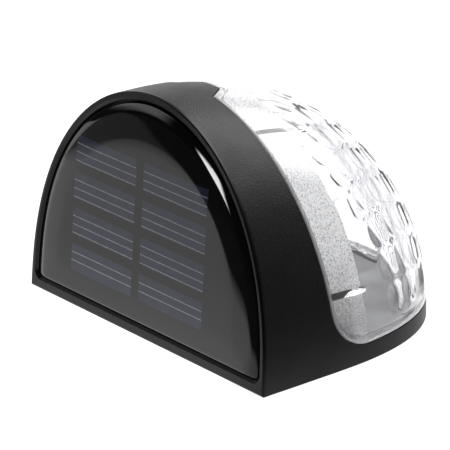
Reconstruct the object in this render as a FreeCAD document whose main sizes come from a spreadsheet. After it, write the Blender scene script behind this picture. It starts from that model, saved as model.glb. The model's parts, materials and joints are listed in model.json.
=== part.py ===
import FreeCAD, Part
import math
import os
import re

import Sketcher

# Half-round solar fence light, standing on the face that goes to the wall.
# Millimetres. X runs across the light, Y from the solar face to the far end of the
# lens, Z away from the wall plane. The origin is the middle of the foot of the light.
# Local lengths along Y are counted from the foot of the solar face.

Vector = FreeCAD.Vector
Rotation = FreeCAD.Rotation
Placement = FreeCAD.Placement

SIZES = {
    # outer form: a half-round arch that closes in a blunt dome
    "light_width": 105.0,
    "light_height": 70.3,
    "light_depth": 85.0,
    "straight_depth": 24.5,
    "front_lean": 4.28,
    "plan_power": 2.58,
    "crown_power": 2.4,
    "arch_side_power": 1.95,
    "arch_crown_power": 2.29,
    # housing shell
    "shell_wall": 1.8,
    "lip_wall": 1.2,
    "parting_depth": 1.2,
    # front bezel, and the groove round the solar panel
    "bezel_band": 1.7,
    "bezel_foot": 2.75,
    "bezel_slope": 0.8,
    "bezel_round": 0.6,
    "panel_groove": 0.7,
    "sleeve_depth": 7.0,
    "sleeve_gap": 0.1,
    "ledge_width": 3.0,
    "ledge_thick": 1.2,
    # solar panel stack
    "cover_drop": 0.4,
    "cover_thick": 1.6,
    "cover_round": 0.9,
    "panel_corner": 1.5,
    "panel_board_thick": 1.2,
    "pad_thick": 0.3,
    "pad_width": 2.2,
    "cell_thick": 0.25,
    "cell_width": 27.6,
    "cell_height": 7.8,
    "cell_gap": 3.4,
    "cell_pitch": 10.9,
    "cell_shift": -6.1,
    "cell_foot": 9.4,
    # lens and its opening in the shell
    "lens_wall": 2.0,
    "lens_gap": 0.2,
    "lens_rim": 2.0,
    "flange_thick": 1.5,
    "flange_reach": 1.6,
    "seal_thick": 0.4,
    "seal_gap": 0.1,
    "window_foot": 27.1,
    "window_lean": 5.9,
    "window_sill": 5.0,
    "window_corner": 14.0,
    "tongue_root": 20.3,
    "tongue_tip": 25.8,
    "tongue_root_half": 7.5,
    "tongue_tip_half": 3.5,
    # lugs of the shell behind the frosted edge of the lens
    "lug_side": 30.0,
    "lug_width": 6.0,
    "lug_thick": 2.0,
    "lug_reach": 26.5,
    "lug_heel": 4.0,
    "lug_foot": 50.0,
    # base plate
    "base_lift": 0.4,
    "base_thick": 2.2,
    "base_gap": 0.2,
    "base_seal_width": 1.6,
    "base_seal_thick": 0.6,
    "hook_width": 6.0,
    "hook_thick": 1.2,
    "hook_wall": 0.8,
    "hook_gap": 0.2,
    "hook_side": 13.0,
    "hook_root": 68.0,
    # screws that hold the base plate
    "base_screw_side": 46.6,
    "base_screw_front": 12.5,
    "base_screw_length": 9.0,
    "base_screw_shank": 2.8,
    "base_screw_head": 5.4,
    "base_boss": 6.8,
    "base_boss_top": 13.5,
    "head_sink": 0.2,
    "screw_gap": 0.1,
    "screw_spare": 1.0,
    # the cross slot of a flat-headed screw, as shares of its head
    "slot_reach_share": 0.3,
    "slot_half_share": 0.06,
    "slot_depth_share": 0.2,
    # small screws inside
    "small_screw_shank": 2.0,
    "small_screw_head": 3.8,
    "small_screw_head_thick": 1.3,
    "small_screw_head_edge": 0.8,
    "small_screw_head_top": 2.4,
    "small_screw_length": 4.5,
    "small_boss": 5.0,
    # wall bracket, and the pocket it slides in
    "bracket_width": 52.0,
    "bracket_length": 12.0,
    "bracket_thick": 2.5,
    "bracket_front": 11.5,
    "bracket_slack": 0.4,
    "bracket_lip": 2.9,
    "bracket_lip_thick": 0.9,
    "bracket_lip_length": 8.0,
    "bracket_travel": 9.0,
    "bracket_hole": 4.2,
    "bracket_sink": 8.0,
    "bracket_sink_depth": 1.3,
    "bracket_pitch": 30.0,
    "rail_thick": 1.0,
    "pocket_wall": 1.6,
    # power button and switch
    "button_side": 39.0,
    "button_front": 20.3,
    "button_cap": 8.6,
    "button_edge": 0.5,
    "button_recess": 0.6,
    "button_flange": 11.0,
    "button_flange_thick": 0.8,
    "button_stem": 3.0,
    "button_travel": 1.2,
    "button_gap": 0.3,
    "tube_wall": 1.2,
    "tube_height": 4.5,
    "switch_height": 5.0,
    # battery and its holder
    "battery_diameter": 14.2,
    "battery_length": 50.0,
    "battery_edge": 0.5,
    "nub_diameter": 5.4,
    "nub_length": 1.2,
    "holder_wall": 1.4,
    "holder_gap": 0.3,
    "holder_height": 16.9,
    "holder_side_height": 11.0,
    "holder_front": 10.6,
    "holder_boss_shift": 1.5,
    "contact_thick": 0.4,
    "contact_width": 9.0,
    "spring_length": 4.4,
    "spring_slant": 0.56,
    # control board and its parts
    "board_thick": 1.6,
    "board_length": 67.0,
    "board_width": 17.0,
    "chip_length": 5.0,
    "chip_width": 4.0,
    "chip_thick": 1.5,
    "chip_side": -4.0,
    "coil_diameter": 6.0,
    "coil_height": 5.0,
    "coil_side": 9.0,
    "capacitor_diameter": 5.0,
    "capacitor_height": 9.0,
    "capacitor_side": 20.0,
    # lamp board, lamps and reflector
    "lamp_board_width": 58.0,
    "lamp_board_height": 30.0,
    "lamp_board_foot": 16.0,
    "lamp_size": 5.0,
    "lamp_thick": 1.5,
    "lamp_pitch_across": 18.0,
    "lamp_pitch_up": 15.0,
    "lamp_hole": 8.0,
    "lamp_screw_side": 25.0,
    "reflector_front": 35.0,
    "reflector_wall": 1.2,
    "reflector_gap": 0.6,
    "reflector_foot": 3.6,
    "cup_depth": 4.0,
    "cup_mouth": 13.0,
    "cup_wall": 0.8,
    "tray_screw_side": 24.0,
    "tray_screw_front": 56.0,
    "tray_boss": 7.0,
    # leads
    "lead_diameter": 1.2,
    "lead_gap": 2.4,
    "lead_bend_share": 0.45,
    "lead_rise": 7.0,
    "lead_row": 5.0,
    "solar_lead_side": -16.0,
    "solar_lead_up": 14.0,
    "solar_lead_reach": 5.0,
    "lamp_lead_side": -12.0,
    "lamp_lead_reach": 4.0,
    "switch_lead_out": 3.0,
    "switch_lead_in": 6.0,
}

# Heights and places that follow from the sizes above.
LEVELS = {
    "front_y": "-light_depth / 2",
    "base_top": "base_lift + base_thick",
    "seal_top": "base_top + base_seal_thick",
    "pocket_roof": "bracket_thick + bracket_slack",
    "pocket_top": "pocket_roof + pocket_wall",
    "cover_back": "cover_drop + cover_thick",
    "panel_board_back": "cover_back + panel_board_thick",
    "ledge_face": "panel_board_back + pad_thick",
    "ledge_back": "ledge_face + ledge_thick",
    "opening_side": "bezel_band + bezel_slope",
    "opening_foot": "bezel_foot + bezel_slope",
    "panel_side": "opening_side + panel_groove",
    "panel_foot": "opening_foot + panel_groove",
    "seal_inset": "shell_wall + seal_gap",
    "flange_inset": "seal_inset + seal_thick + seal_gap",
    "flange_back": "flange_inset + flange_thick",
    "holder_inner": "battery_length + spring_length + contact_thick",
    "holder_outer": "holder_inner + 2 * holder_wall",
    "holder_width": "battery_diameter + 2 * holder_gap + 2 * holder_wall",
    "holder_axis": "pocket_top + holder_wall + holder_gap + battery_diameter / 2",
    "holder_middle": "holder_front + holder_width / 2",
    "holder_boss_side": "holder_outer / 2 + holder_boss_shift",
    "holder_boss_offset": "holder_width / 2 - small_boss / 2",
    "board_under": "pocket_top + holder_height",
    "board_top": "board_under + board_thick",
    "button_face": "base_lift + button_recess",
    "flange_under": "base_top + button_gap",
    "flange_top": "flange_under + button_flange_thick",
    "tube_top": "base_top + tube_height",
    "stem_top": "tube_top + button_travel",
    "tube_inner": "button_flange / 2 + button_gap",
    "tube_outer": "tube_inner + tube_wall",
    "lamp_board_back": "reflector_front - board_thick",
    "lamp_middle": "lamp_board_foot + lamp_board_height / 2",
    "reflector_back": "reflector_front + reflector_wall",
    "tray_top": "reflector_foot + reflector_wall",
    "screw_face": "base_lift + head_sink",
    "base_front": "sleeve_depth + 2 * base_gap",
}

# The blunt end of the dome stops at this share of its depth, in a small flat.
DOME_END = 0.999
DOME_ROWS = 19
DOME_COLUMNS = 25
# Far enough past the light for any cutting block.
REACH = 300.0
# A short run past a face, for a cutting block that must not reach further parts.
PAST = 1.0
# Two places closer than this count as one.
NEAR = 0.01
# An outer edge of the bezel spans more than this share of the width.
FULL_WIDTH = 0.99
CELL_ROWS = 4

doc = FreeCAD.newDocument("fence_light")
sheet = doc.addObject("Spreadsheet::Sheet", "sizes")
levels = doc.addObject("App::VarSet", "levels")
parts = []
domes = {}


def bind(thing, slot, formula):
    """Tie a property to a formula in the names of the sheet's cells and the levels."""

    def full_name(match):
        word = match.group(0)
        if word in SIZES:
            return "sizes." + word
        if word in LEVELS:
            return "levels." + word
        return word

    thing.setExpression(slot, re.sub(r"[a-z_]+", full_name, formula))


def fill_sheet():
    for row, (name, value) in enumerate(SIZES.items(), start=1):
        sheet.set(f"A{row}", name)
        sheet.set(f"B{row}", str(value))
        sheet.setAlias(f"B{row}", name)
    doc.recompute()
    for name, formula in LEVELS.items():
        levels.addProperty("App::PropertyFloat", name)
        bind(levels, name, formula)
    doc.recompute()


def get(name):
    """The value of a cell or a level."""
    if name in SIZES:
        return float(sheet.get(name))
    return float(getattr(levels, name))


def keep(thing, label):
    """Mark an object as a finished sub-part, named as its file."""
    thing.Label = label
    parts.append(thing)
    return thing


def place(thing, across="0", along="0", up="0"):
    bind(thing, "Placement.Base.x", across)
    bind(thing, "Placement.Base.y", "front_y + " + along)
    bind(thing, "Placement.Base.z", up)


def moulded(label, shape):
    """A sub-part whose doubly curved shape is worked out below."""
    thing = doc.addObject("Part::Feature", label)
    thing.Shape = shape.removeSplitter()
    thing.Placement = Placement(Vector(0, get("front_y"), 0), Rotation())
    return keep(thing, label)


# ---------------------------------------------------------------- solid primitives


def block(name, length, width, height, across="0", along="0", up="0"):
    """A box centred across, that starts at along and up."""
    box = doc.addObject("Part::Box", name)
    bind(box, "Length", length)
    bind(box, "Width", width)
    bind(box, "Height", height)
    place(box, f"{across} - ({length}) / 2", along, up)
    return box


def rod(name, diameter, length, across="0", along="0", up="0"):
    """An upright cylinder."""
    cylinder = doc.addObject("Part::Cylinder", name)
    bind(cylinder, "Radius", f"({diameter}) / 2")
    bind(cylinder, "Height", length)
    place(cylinder, across, along, up)
    return cylinder


def cone(name, low_diameter, high_diameter, height, across="0", along="0", up="0"):
    thing = doc.addObject("Part::Cone", name)
    bind(thing, "Radius1", f"({low_diameter}) / 2")
    bind(thing, "Radius2", f"({high_diameter}) / 2")
    bind(thing, "Height", height)
    place(thing, across, along, up)
    return thing


def fused(name, things):
    thing = doc.addObject("Part::MultiFuse", name)
    thing.Shapes = things
    thing.Refine = True
    return thing


def cut(name, base, tools):
    thing = doc.addObject("Part::Cut", name)
    thing.Base = base
    thing.Tool = tools[0] if len(tools) == 1 else fused(name + "_tools", tools)
    thing.Refine = True
    return thing


def group(name, things):
    """Several separate solids of one kind in one sub-part."""
    thing = doc.addObject("Part::Compound", name)
    thing.Links = things
    return thing


# ---------------------------------------------------------------- bodies and sketches


def new_sketch(body, name, role):
    plane = next(item for item in body.Origin.OriginFeatures if item.Role == role)
    sketch = body.newObject("Sketcher::SketchObject", name)
    sketch.AttachmentSupport = [(plane, "")]
    sketch.MapMode = "FlatFace"
    return sketch


def pin_point(sketch, line, end, across, up, tag):
    """Fix one end of a line at a place given by two formulas."""
    for axis, kind, formula in ((-2, "DistanceX", across), (-1, "DistanceY", up)):
        if formula == "0":
            sketch.addConstraint(Sketcher.Constraint("PointOnObject", line, end, axis))
            continue
        index = sketch.addConstraint(Sketcher.Constraint(kind, -1, 1, line, end, 1.0))
        name = f"{tag}_{kind[-1]}"
        sketch.renameConstraint(index, name)
        bind(sketch, "Constraints." + name, formula)


def polygon(sketch, corners, tag="corner"):
    """A closed outline of straight lines through corners given as formulas."""
    count = len(corners)
    ring = []
    for index in range(count):
        angle = 2 * math.pi * index / count
        ring.append(Vector(10 * math.cos(angle), 10 * math.sin(angle), 0))
    first = sketch.GeometryCount
    for index in range(count):
        sketch.addGeometry(Part.LineSegment(ring[index], ring[(index + 1) % count]))
    for index in range(count):
        after = first + (index + 1) % count
        sketch.addConstraint(Sketcher.Constraint("Coincident", first + index, 2, after, 1))
    for index, (across, up) in enumerate(corners):
        pin_point(sketch, first + index, 1, across, up, f"{tag}{index}")


def circle(sketch, diameter, across, up, tag):
    index = sketch.addGeometry(Part.Circle(Vector(1, 1, 0), Vector(0, 0, 1), 1.0))
    pin_point(sketch, index, 3, across, up, tag)
    radius = sketch.addConstraint(Sketcher.Constraint("Radius", index, 1.0))
    sketch.renameConstraint(radius, tag + "_radius")
    bind(sketch, f"Constraints.{tag}_radius", f"({diameter}) / 2")


def rectangle(sketch, width, height, low="0"):
    half = f"({width}) / 2"
    polygon(
        sketch,
        [
            (f"-{half}", low),
            (half, low),
            (half, f"{low} + {height}"),
            (f"-{half}", f"{low} + {height}"),
        ],
    )


def pad(body, sketch, length):
    feature = body.newObject("PartDesign::Pad", sketch.Name + "_pad")
    feature.Profile = sketch
    bind(feature, "Length", length)
    return feature


def turned(name, corners):
    """A body turned about its own Z axis from a profile of radius and height."""
    body = doc.addObject("PartDesign::Body", name)
    sketch = new_sketch(body, name + "_profile", "XZ_Plane")
    polygon(sketch, corners)
    feature = body.newObject("PartDesign::Revolution", name + "_turn")
    feature.Profile = sketch
    feature.ReferenceAxis = (sketch, ["V_Axis"])
    feature.Angle = 360.0
    return body


# ---------------------------------------------------------------- the outer form


def arch(half_width, height):
    """Points of a half superellipse, from the right foot over the crown."""
    side = 2 / get("arch_side_power")
    crown = 2 / get("arch_crown_power")
    points = []
    for index in range(DOME_COLUMNS):
        angle = math.pi * index / (DOME_COLUMNS - 1)
        across = math.copysign(abs(math.cos(angle)) ** side, math.cos(angle))
        up = abs(math.sin(angle)) ** crown
        if index in (0, DOME_COLUMNS - 1):
            up = 0.0
        points.append((half_width * across, height * up))
    return points


def fade(share, power):
    """How much of the section is left at this share of the depth."""
    return (1 - share**power) ** (1 / power)


def dome_rows(inset):
    """Sections of the outer form, set in by a wall, from the solar face to the end."""
    half = get("light_width") / 2 - inset
    height = get("light_height") - inset
    depth = get("light_depth") - inset
    straight = get("straight_depth")
    lean = math.tan(math.radians(get("front_lean")))
    rows = []
    for index in range(DOME_ROWS):
        share = DOME_END * (1 - (1 - index / (DOME_ROWS - 1)) ** 2)
        along = depth * share / DOME_END
        curved = max(0.0, DOME_END * (along - straight) / (depth - straight))
        half_here = half * fade(curved, get("plan_power"))
        height_here = height * fade(share, get("crown_power"))
        row = []
        for across, up in arch(half_here, height_here):
            row.append(Vector(across, along + (1 - along / depth) * lean * up, up))
        rows.append(row)
    return rows


def dome(inset):
    """The outer form as a solid, set in by a wall; its solar face stays in place."""
    if inset not in domes:
        domes[inset] = made_dome(dome_rows(inset))
    return domes[inset]


def made_dome(rows):
    """A solid closed by flats at the solar face, the foot and the blunt end."""
    surface = Part.BSplineSurface()
    surface.interpolate(rows)
    skin = surface.toShape()
    front_line = Part.makeLine(rows[0][0], rows[0][-1])
    end_line = Part.makeLine(rows[-1][0], rows[-1][-1])
    foot_edges = [front_line, end_line]
    front_edges = [front_line]
    end_edges = [end_line]
    middle = get("light_depth") / 2
    for edge in skin.Edges:
        bounds = edge.BoundBox
        if bounds.ZMax < NEAR:
            foot_edges.append(edge)
        elif bounds.YMax < middle:
            front_edges.append(edge)
        else:
            end_edges.append(edge)
    faces = [skin]
    for edges in (foot_edges, front_edges, end_edges):
        faces.append(Part.Face(Part.Wire(Part.__sortEdges__(edges))))
    return Part.makeSolid(Part.makeShell(faces))


def slab(low, high):
    """All between two upright planes across Y."""
    return Part.makeBox(2 * REACH, high - low, 2 * REACH, Vector(-REACH, low, -REACH))


def layer(low, high):
    """All between two levels."""
    return Part.makeBox(2 * REACH, 2 * REACH, high - low, Vector(-REACH, -REACH, low))


def leaned(shape):
    """Turn a shape made on an upright front to lie on the leaning solar face."""
    shape.rotate(Vector(0, 0, 0), Vector(1, 0, 0), -get("front_lean"))
    return shape


def face_slab(low, high):
    """All between two depths behind the leaning solar face."""
    return leaned(slab(low, high))


def half_round(side, foot, low, high):
    """A half-round plate behind the solar face, set in from its side and foot."""
    half = get("light_width") / 2 - side
    slant = get("light_height") / math.cos(math.radians(get("front_lean")))
    points = [Vector(x, low, foot + z) for x, z in arch(half, slant - side - foot)]
    curve = Part.BSplineCurve()
    curve.interpolate(points)
    foot_line = Part.makeLine(points[-1], points[0])
    face = Part.Face(Part.Wire([curve.toShape(), foot_line]))
    return face.extrude(Vector(0, high - low, 0))


def rounded_half_round(side, foot, low, high, corner):
    """The same plate with its two foot corners rounded."""
    plate = half_round(side, foot, low, high)
    uprights = []
    for edge in plate.Edges:
        bounds = edge.BoundBox
        runs_through = bounds.YLength > (high - low) / 2
        if runs_through and bounds.XLength < NEAR and bounds.ZLength < NEAR:
            uprights.append(edge)
    return plate.makeFillet(corner, uprights)


def window(grow):
    """The opening for the lens, as a cutting block, grown by an even margin."""
    lean = math.radians(get("window_lean"))
    sill = get("window_sill") - grow
    radius = get("window_corner") + grow
    foot = get("window_foot") - math.tan(lean) * sill - grow / math.cos(lean)
    up = Vector(0, -math.sin(lean), math.cos(lean))
    back = Vector(0, 1, 0)
    half_turn = (math.pi / 2 + lean) / 2
    corner = Vector(0, foot, sill)
    start = corner + up * (radius / math.tan(half_turn))
    end = corner + back * (radius / math.tan(half_turn))
    inward = (up + back).normalize()
    middle = corner + inward * (radius / math.sin(half_turn) - radius)
    top = corner + up * REACH
    far = Vector(0, REACH, sill)
    far_top = Vector(0, REACH, top.z)
    edges = [
        Part.makeLine(top, start),
        Part.Arc(start, middle, end).toShape(),
        Part.makeLine(end, far),
        Part.makeLine(far, far_top),
        Part.makeLine(far_top, top),
    ]
    side = Part.Face(Part.Wire(edges))
    side.translate(Vector(-REACH, 0, 0))
    return side.extrude(Vector(2 * REACH, 0, 0)).cut(tongue(grow))


def tongue(grow):
    """The short tongue of the shell that runs into the lens on the crown."""
    root = get("tongue_root_half") - grow
    tip = get("tongue_tip_half") - grow
    outline = [
        Vector(-root, -REACH, 0),
        Vector(-root, get("tongue_root") - grow, 0),
        Vector(-tip, get("tongue_tip") - grow, 0),
        Vector(tip, get("tongue_tip") - grow, 0),
        Vector(root, get("tongue_root") - grow, 0),
        Vector(root, -REACH, 0),
        Vector(-root, -REACH, 0),
    ]
    for point in outline:
        point.z = get("light_height") / 2
    return Part.Face(Part.makePolygon(outline)).extrude(Vector(0, 0, REACH))


def box_between(low, high):
    size = high - low
    return Part.makeBox(size.x, size.y, size.z, low)


def upright(diameter, low, high, across, along):
    return Part.makeCylinder(diameter / 2, high - low, Vector(across, along, low))


def base_screw_places():
    for side in (-1, 1):
        yield side * get("base_screw_side"), get("base_screw_front")


# ---------------------------------------------------------------- moulded sub-parts


def screw_boss(across, along):
    """A boss for a base screw, ribbed to the side wall of the shell."""
    low = get("seal_top")
    high = get("base_boss_top")
    radius = get("base_boss") / 2
    boss = upright(get("base_boss"), low, high, across, along)
    side = math.copysign(get("light_width") / 2, across)
    left, right = sorted((across, side))
    rib = box_between(
        Vector(left, along - radius / 2, low), Vector(right, along + radius / 2, high)
    )
    hole = upright(
        get("base_screw_shank") + 2 * get("screw_gap"),
        low,
        get("screw_face") + get("base_screw_length") + get("screw_spare"),
        across,
        along,
    )
    return boss.fuse(rib).cut(hole)


def lens_lug(side):
    """A lug under the edge of the lens that lines it up with the shell."""
    ring = dome(get("flange_back") + get("seal_thick"))
    inner = dome(get("flange_back") + get("seal_thick") + get("lug_thick"))
    near = get("lug_side") - get("lug_width") / 2
    far = get("lug_side") + get("lug_width") / 2
    left, right = sorted((side * near, side * far))
    root = get("tongue_root") - 2 * get("flange_reach") - get("lug_heel")
    region = box_between(
        Vector(left, root, get("lug_foot")),
        Vector(right, get("lug_reach"), get("light_height")),
    )
    arm = ring.cut(inner).common(region)
    heel = box_between(
        Vector(left, root, get("lug_foot")),
        Vector(right, root + get("lug_heel"), get("light_height")),
    )
    return arm.fuse(dome(get("shell_wall") / 2).cut(inner).common(heel))


def hook_blocks(grow):
    """Where the two hooks of the base plate run into the far wall of the shell."""
    middle = get("base_lift") + get("base_thick") / 2
    half_thick = get("hook_thick") / 2 + grow
    half_width = get("hook_width") / 2 + grow
    blocks = []
    for side in (-1, 1):
        centre = side * get("hook_side")
        low = Vector(centre - half_width, get("hook_root"), middle - half_thick)
        high = Vector(centre + half_width, get("light_depth"), middle + half_thick)
        blocks.append(box_between(low, high))
    return blocks[0].fuse(blocks[1]).common(dome(get("hook_wall") - grow / 2))


def housing_shell():
    shell = dome(0).cut(dome(get("shell_wall")))
    shell = shell.common(face_slab(get("parting_depth"), REACH))
    lip = face_slab(0, get("sleeve_depth") + PAST)
    shell = shell.cut(dome(get("lip_wall")).common(lip))
    shell = shell.cut(window(0))
    for across, along in base_screw_places():
        shell = shell.fuse(screw_boss(across, along).common(dome(get("shell_wall") / 2)))
    for side in (-1, 1):
        shell = shell.fuse(lens_lug(side))
    shell = shell.cut(hook_blocks(get("hook_gap")))
    moulded("housing_shell", shell)


def front_bezel():
    rim = dome(0).common(face_slab(0, get("parting_depth")))
    sleeve_form = dome(get("lip_wall") + get("sleeve_gap"))
    sleeve = sleeve_form.common(face_slab(get("parting_depth"), get("sleeve_depth")))
    body = rim.fuse(sleeve)
    side = get("opening_side")
    foot = get("opening_foot")
    corner = get("panel_corner") + get("panel_groove")
    opening = rounded_half_round(side, foot, -PAST, get("ledge_face"), corner)
    inner = get("ledge_width")
    end = get("sleeve_depth") + PAST
    well = rounded_half_round(side + inner, foot + inner, -PAST, end, corner)
    behind = rounded_half_round(side, foot, get("ledge_back"), end, corner)
    slope = splay(side, foot, get("bezel_slope"), corner)
    for tool in (opening, well, behind, slope):
        body = body.cut(leaned(tool))
    body = body.makeFillet(get("bezel_round"), front_edges_of(body))
    moulded("front_bezel", body)


def splay(side, foot, slope, corner):
    """The sloping inner edge of the bezel, as a cutting block."""
    mouth = outline_at(side - slope, foot - slope, 0, corner + slope)
    throat = outline_at(side, foot, slope, corner)
    return Part.makeLoft([mouth, throat], True, True)


def outline_at(side, foot, depth, corner):
    """The rounded half-round outline as a wire at one depth."""
    plate = rounded_half_round(side, foot, depth, depth + PAST, corner)
    for face in plate.Faces:
        bounds = face.BoundBox
        if bounds.YLength < NEAR and abs(bounds.YMin - depth) < NEAR:
            return face.OuterWire
    raise RuntimeError("outline not found")


def front_edges_of(body):
    """The long outer edges that lie in the plane of the solar face."""
    chosen = []
    lean = math.tan(math.radians(get("front_lean")))
    for edge in body.Edges:
        points = edge.discretize(9)
        on_face = all(abs(point.y - point.z * lean) < NEAR for point in points)
        if on_face and edge.BoundBox.XLength > FULL_WIDTH * get("light_width"):
            chosen.append(edge)
    return chosen


def solar_cover():
    side = get("panel_side")
    foot = get("panel_foot")
    back = get("cover_back")
    plate = rounded_half_round(side, foot, get("cover_drop"), back, get("panel_corner"))
    rim = []
    for edge in plate.Edges:
        bounds = edge.BoundBox
        if bounds.YLength < NEAR and abs(bounds.YMin - get("cover_drop")) < NEAR:
            rim.append(edge)
    plate = plate.makeFillet(get("cover_round"), rim)
    for low, high in cell_boxes():
        plate = plate.cut(box_between(low, high))
    moulded("solar_cover", leaned(plate))


def cell_boxes():
    """Two columns of cells, on the front of the panel board."""
    back = get("cover_back")
    for column in (-1, 1):
        middle = get("cell_shift") + column * (get("cell_width") + get("cell_gap")) / 2
        for row in range(CELL_ROWS):
            foot = get("cell_foot") + row * get("cell_pitch")
            low = Vector(middle - get("cell_width") / 2, back - get("cell_thick"), foot)
            yield low, low + Vector(get("cell_width"), get("cell_thick"), get("cell_height"))


def solar_cells():
    cells = [leaned(box_between(low, high)) for low, high in cell_boxes()]
    moulded("solar_cells", Part.makeCompound(cells))


def solar_board():
    plate = rounded_half_round(
        get("panel_side"),
        get("panel_foot"),
        get("cover_back"),
        get("panel_board_back"),
        get("panel_corner"),
    )
    moulded("solar_board", leaned(plate))


def solar_pad():
    side = get("panel_side")
    foot = get("panel_foot")
    width = get("pad_width")
    low = get("panel_board_back")
    high = get("ledge_face")
    ring = rounded_half_round(side, foot, low, high, get("panel_corner"))
    hole = rounded_half_round(side + width, foot + width, low, high, get("panel_corner"))
    moulded("solar_pad", leaned(ring.cut(hole)))


def clear_lens():
    skin = dome(0).common(window(-get("lens_gap")))
    flange = dome(get("flange_inset")).common(window(get("flange_reach")))
    lens = skin.fuse(flange)
    lens = lens.cut(dome(get("flange_back")))
    lens = lens.cut(dome(get("lens_wall")).common(window(-get("lens_rim"))))
    moulded("clear_lens", lens)


def lens_seal():
    ring = dome(get("seal_inset")).cut(dome(get("seal_inset") + get("seal_thick")))
    outer = window(get("flange_reach"))
    inner = window(get("lens_gap"))
    moulded("lens_seal", ring.common(outer).cut(inner))


def pocket_outline(grow, low, high):
    """The pocket of the wall bracket, from before its start to past its travel."""
    half = get("bracket_width") / 2 + get("bracket_slack") + grow
    front = get("bracket_front") - get("bracket_slack") - grow
    back = get("bracket_front") + get("bracket_length") + get("bracket_travel")
    back += get("bracket_slack") + grow
    return box_between(Vector(-half, front, low), Vector(half, back, high))


def bracket_rails():
    """Rails under the lips of the bracket, each with a gap for the lip to drop out."""
    outer = get("bracket_width") / 2 + get("bracket_slack") + get("pocket_wall") / 2
    inner = get("bracket_width") / 2 - get("bracket_lip") + get("bracket_slack")
    low = get("base_lift")
    high = low + get("rail_thick")
    front = get("bracket_front") - get("bracket_slack") - get("pocket_wall") / 2
    back = get("bracket_front") + get("bracket_length") + get("bracket_travel")
    back += get("bracket_slack") + get("pocket_wall") / 2
    gap_start = get("bracket_front") + get("bracket_length") / 2
    gap_start += get("bracket_travel") - get("bracket_lip_length") / 2 - get("bracket_slack")
    gap_end = gap_start + get("bracket_lip_length") + 2 * get("bracket_slack")
    rails = []
    for side in (-1, 1):
        left, right = sorted((side * inner, side * outer))
        whole = box_between(Vector(left, front, low), Vector(right, back, high))
        gap = box_between(Vector(left, gap_start, low), Vector(right, gap_end, high))
        rails.append(whole.cut(gap))
    return rails


def base_plate():
    form = dome(get("shell_wall") + get("base_gap"))
    inside = slab(get("base_front"), REACH)
    plate = form.common(inside).common(layer(get("base_lift"), get("base_top")))
    plate = plate.fuse(hook_blocks(0))
    plate = plate.fuse(pocket_outline(get("pocket_wall"), get("base_lift"), get("pocket_top")))
    button_x = get("button_side")
    button_y = get("button_front")
    tube = 2 * get("tube_outer")
    plate = plate.fuse(upright(tube, get("base_lift"), get("tube_top"), button_x, button_y))
    for side in (-1, 1):
        across = side * get("tray_screw_side")
        foot = upright(
            get("tray_boss"),
            get("base_lift"),
            get("reflector_foot"),
            across,
            get("tray_screw_front"),
        )
        plate = plate.fuse(foot)
    plate = plate.cut(pocket_outline(0, -PAST, get("pocket_roof")))
    for rail in bracket_rails():
        plate = plate.fuse(rail)
    bore = 2 * get("tube_inner")
    plate = plate.cut(upright(bore, get("base_top"), REACH, button_x, button_y))
    hole = get("button_cap") + 2 * get("button_gap")
    plate = plate.cut(upright(hole, -PAST, REACH, button_x, button_y))
    shank = get("base_screw_shank")
    head = get("base_screw_head")
    for across, along in base_screw_places():
        plate = plate.cut(sunk_hole(across, along, shank, head))
    shank = get("small_screw_shank")
    head = get("small_screw_head")
    for side in (-1, 1):
        across = side * get("tray_screw_side")
        plate = plate.cut(sunk_hole(across, get("tray_screw_front"), shank, head))
    moulded("base_plate", plate)


def sunk_hole(across, along, shank, head):
    """A countersunk hole for a flat-headed screw put in from the wall side."""
    gap = get("screw_gap")
    low = get("screw_face")
    depth = (head - shank) / 2
    place_low = Vector(across, along, low)
    sink = Part.makeCone(head / 2 + gap, shank / 2 + gap, depth, place_low)
    mouth = upright(head + 2 * gap, -PAST, low, across, along)
    through = upright(shank + 2 * gap, low, REACH, across, along)
    return sink.fuse(mouth).fuse(through)


def base_seal():
    margin = 3 * get("base_gap")
    outer_form = dome(get("shell_wall") + margin)
    inner_form = dome(get("shell_wall") + margin + get("base_seal_width"))
    front = get("base_front") + get("base_gap")
    inner_slab = slab(front + get("base_seal_width"), REACH)
    ring = outer_form.common(slab(front, REACH)).cut(inner_form.common(inner_slab))
    ring = ring.common(layer(get("base_top"), get("seal_top")))
    moulded("base_seal", ring)


def lamp_places():
    """Three lamps across and two up."""
    for row in (-1, 1):
        for column in (-1, 0, 1):
            across = column * get("lamp_pitch_across")
            yield across, get("lamp_middle") + row * get("lamp_pitch_up") / 2


def lamp_screw_places():
    for side in (-1, 1):
        yield side * get("lamp_screw_side"), get("lamp_middle")


def along_depth(diameter, low, high, across, up):
    """A cylinder that lies along Y."""
    start = Vector(across, low, up)
    return Part.makeCylinder(diameter / 2, high - low, start, Vector(0, 1, 0))


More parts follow.
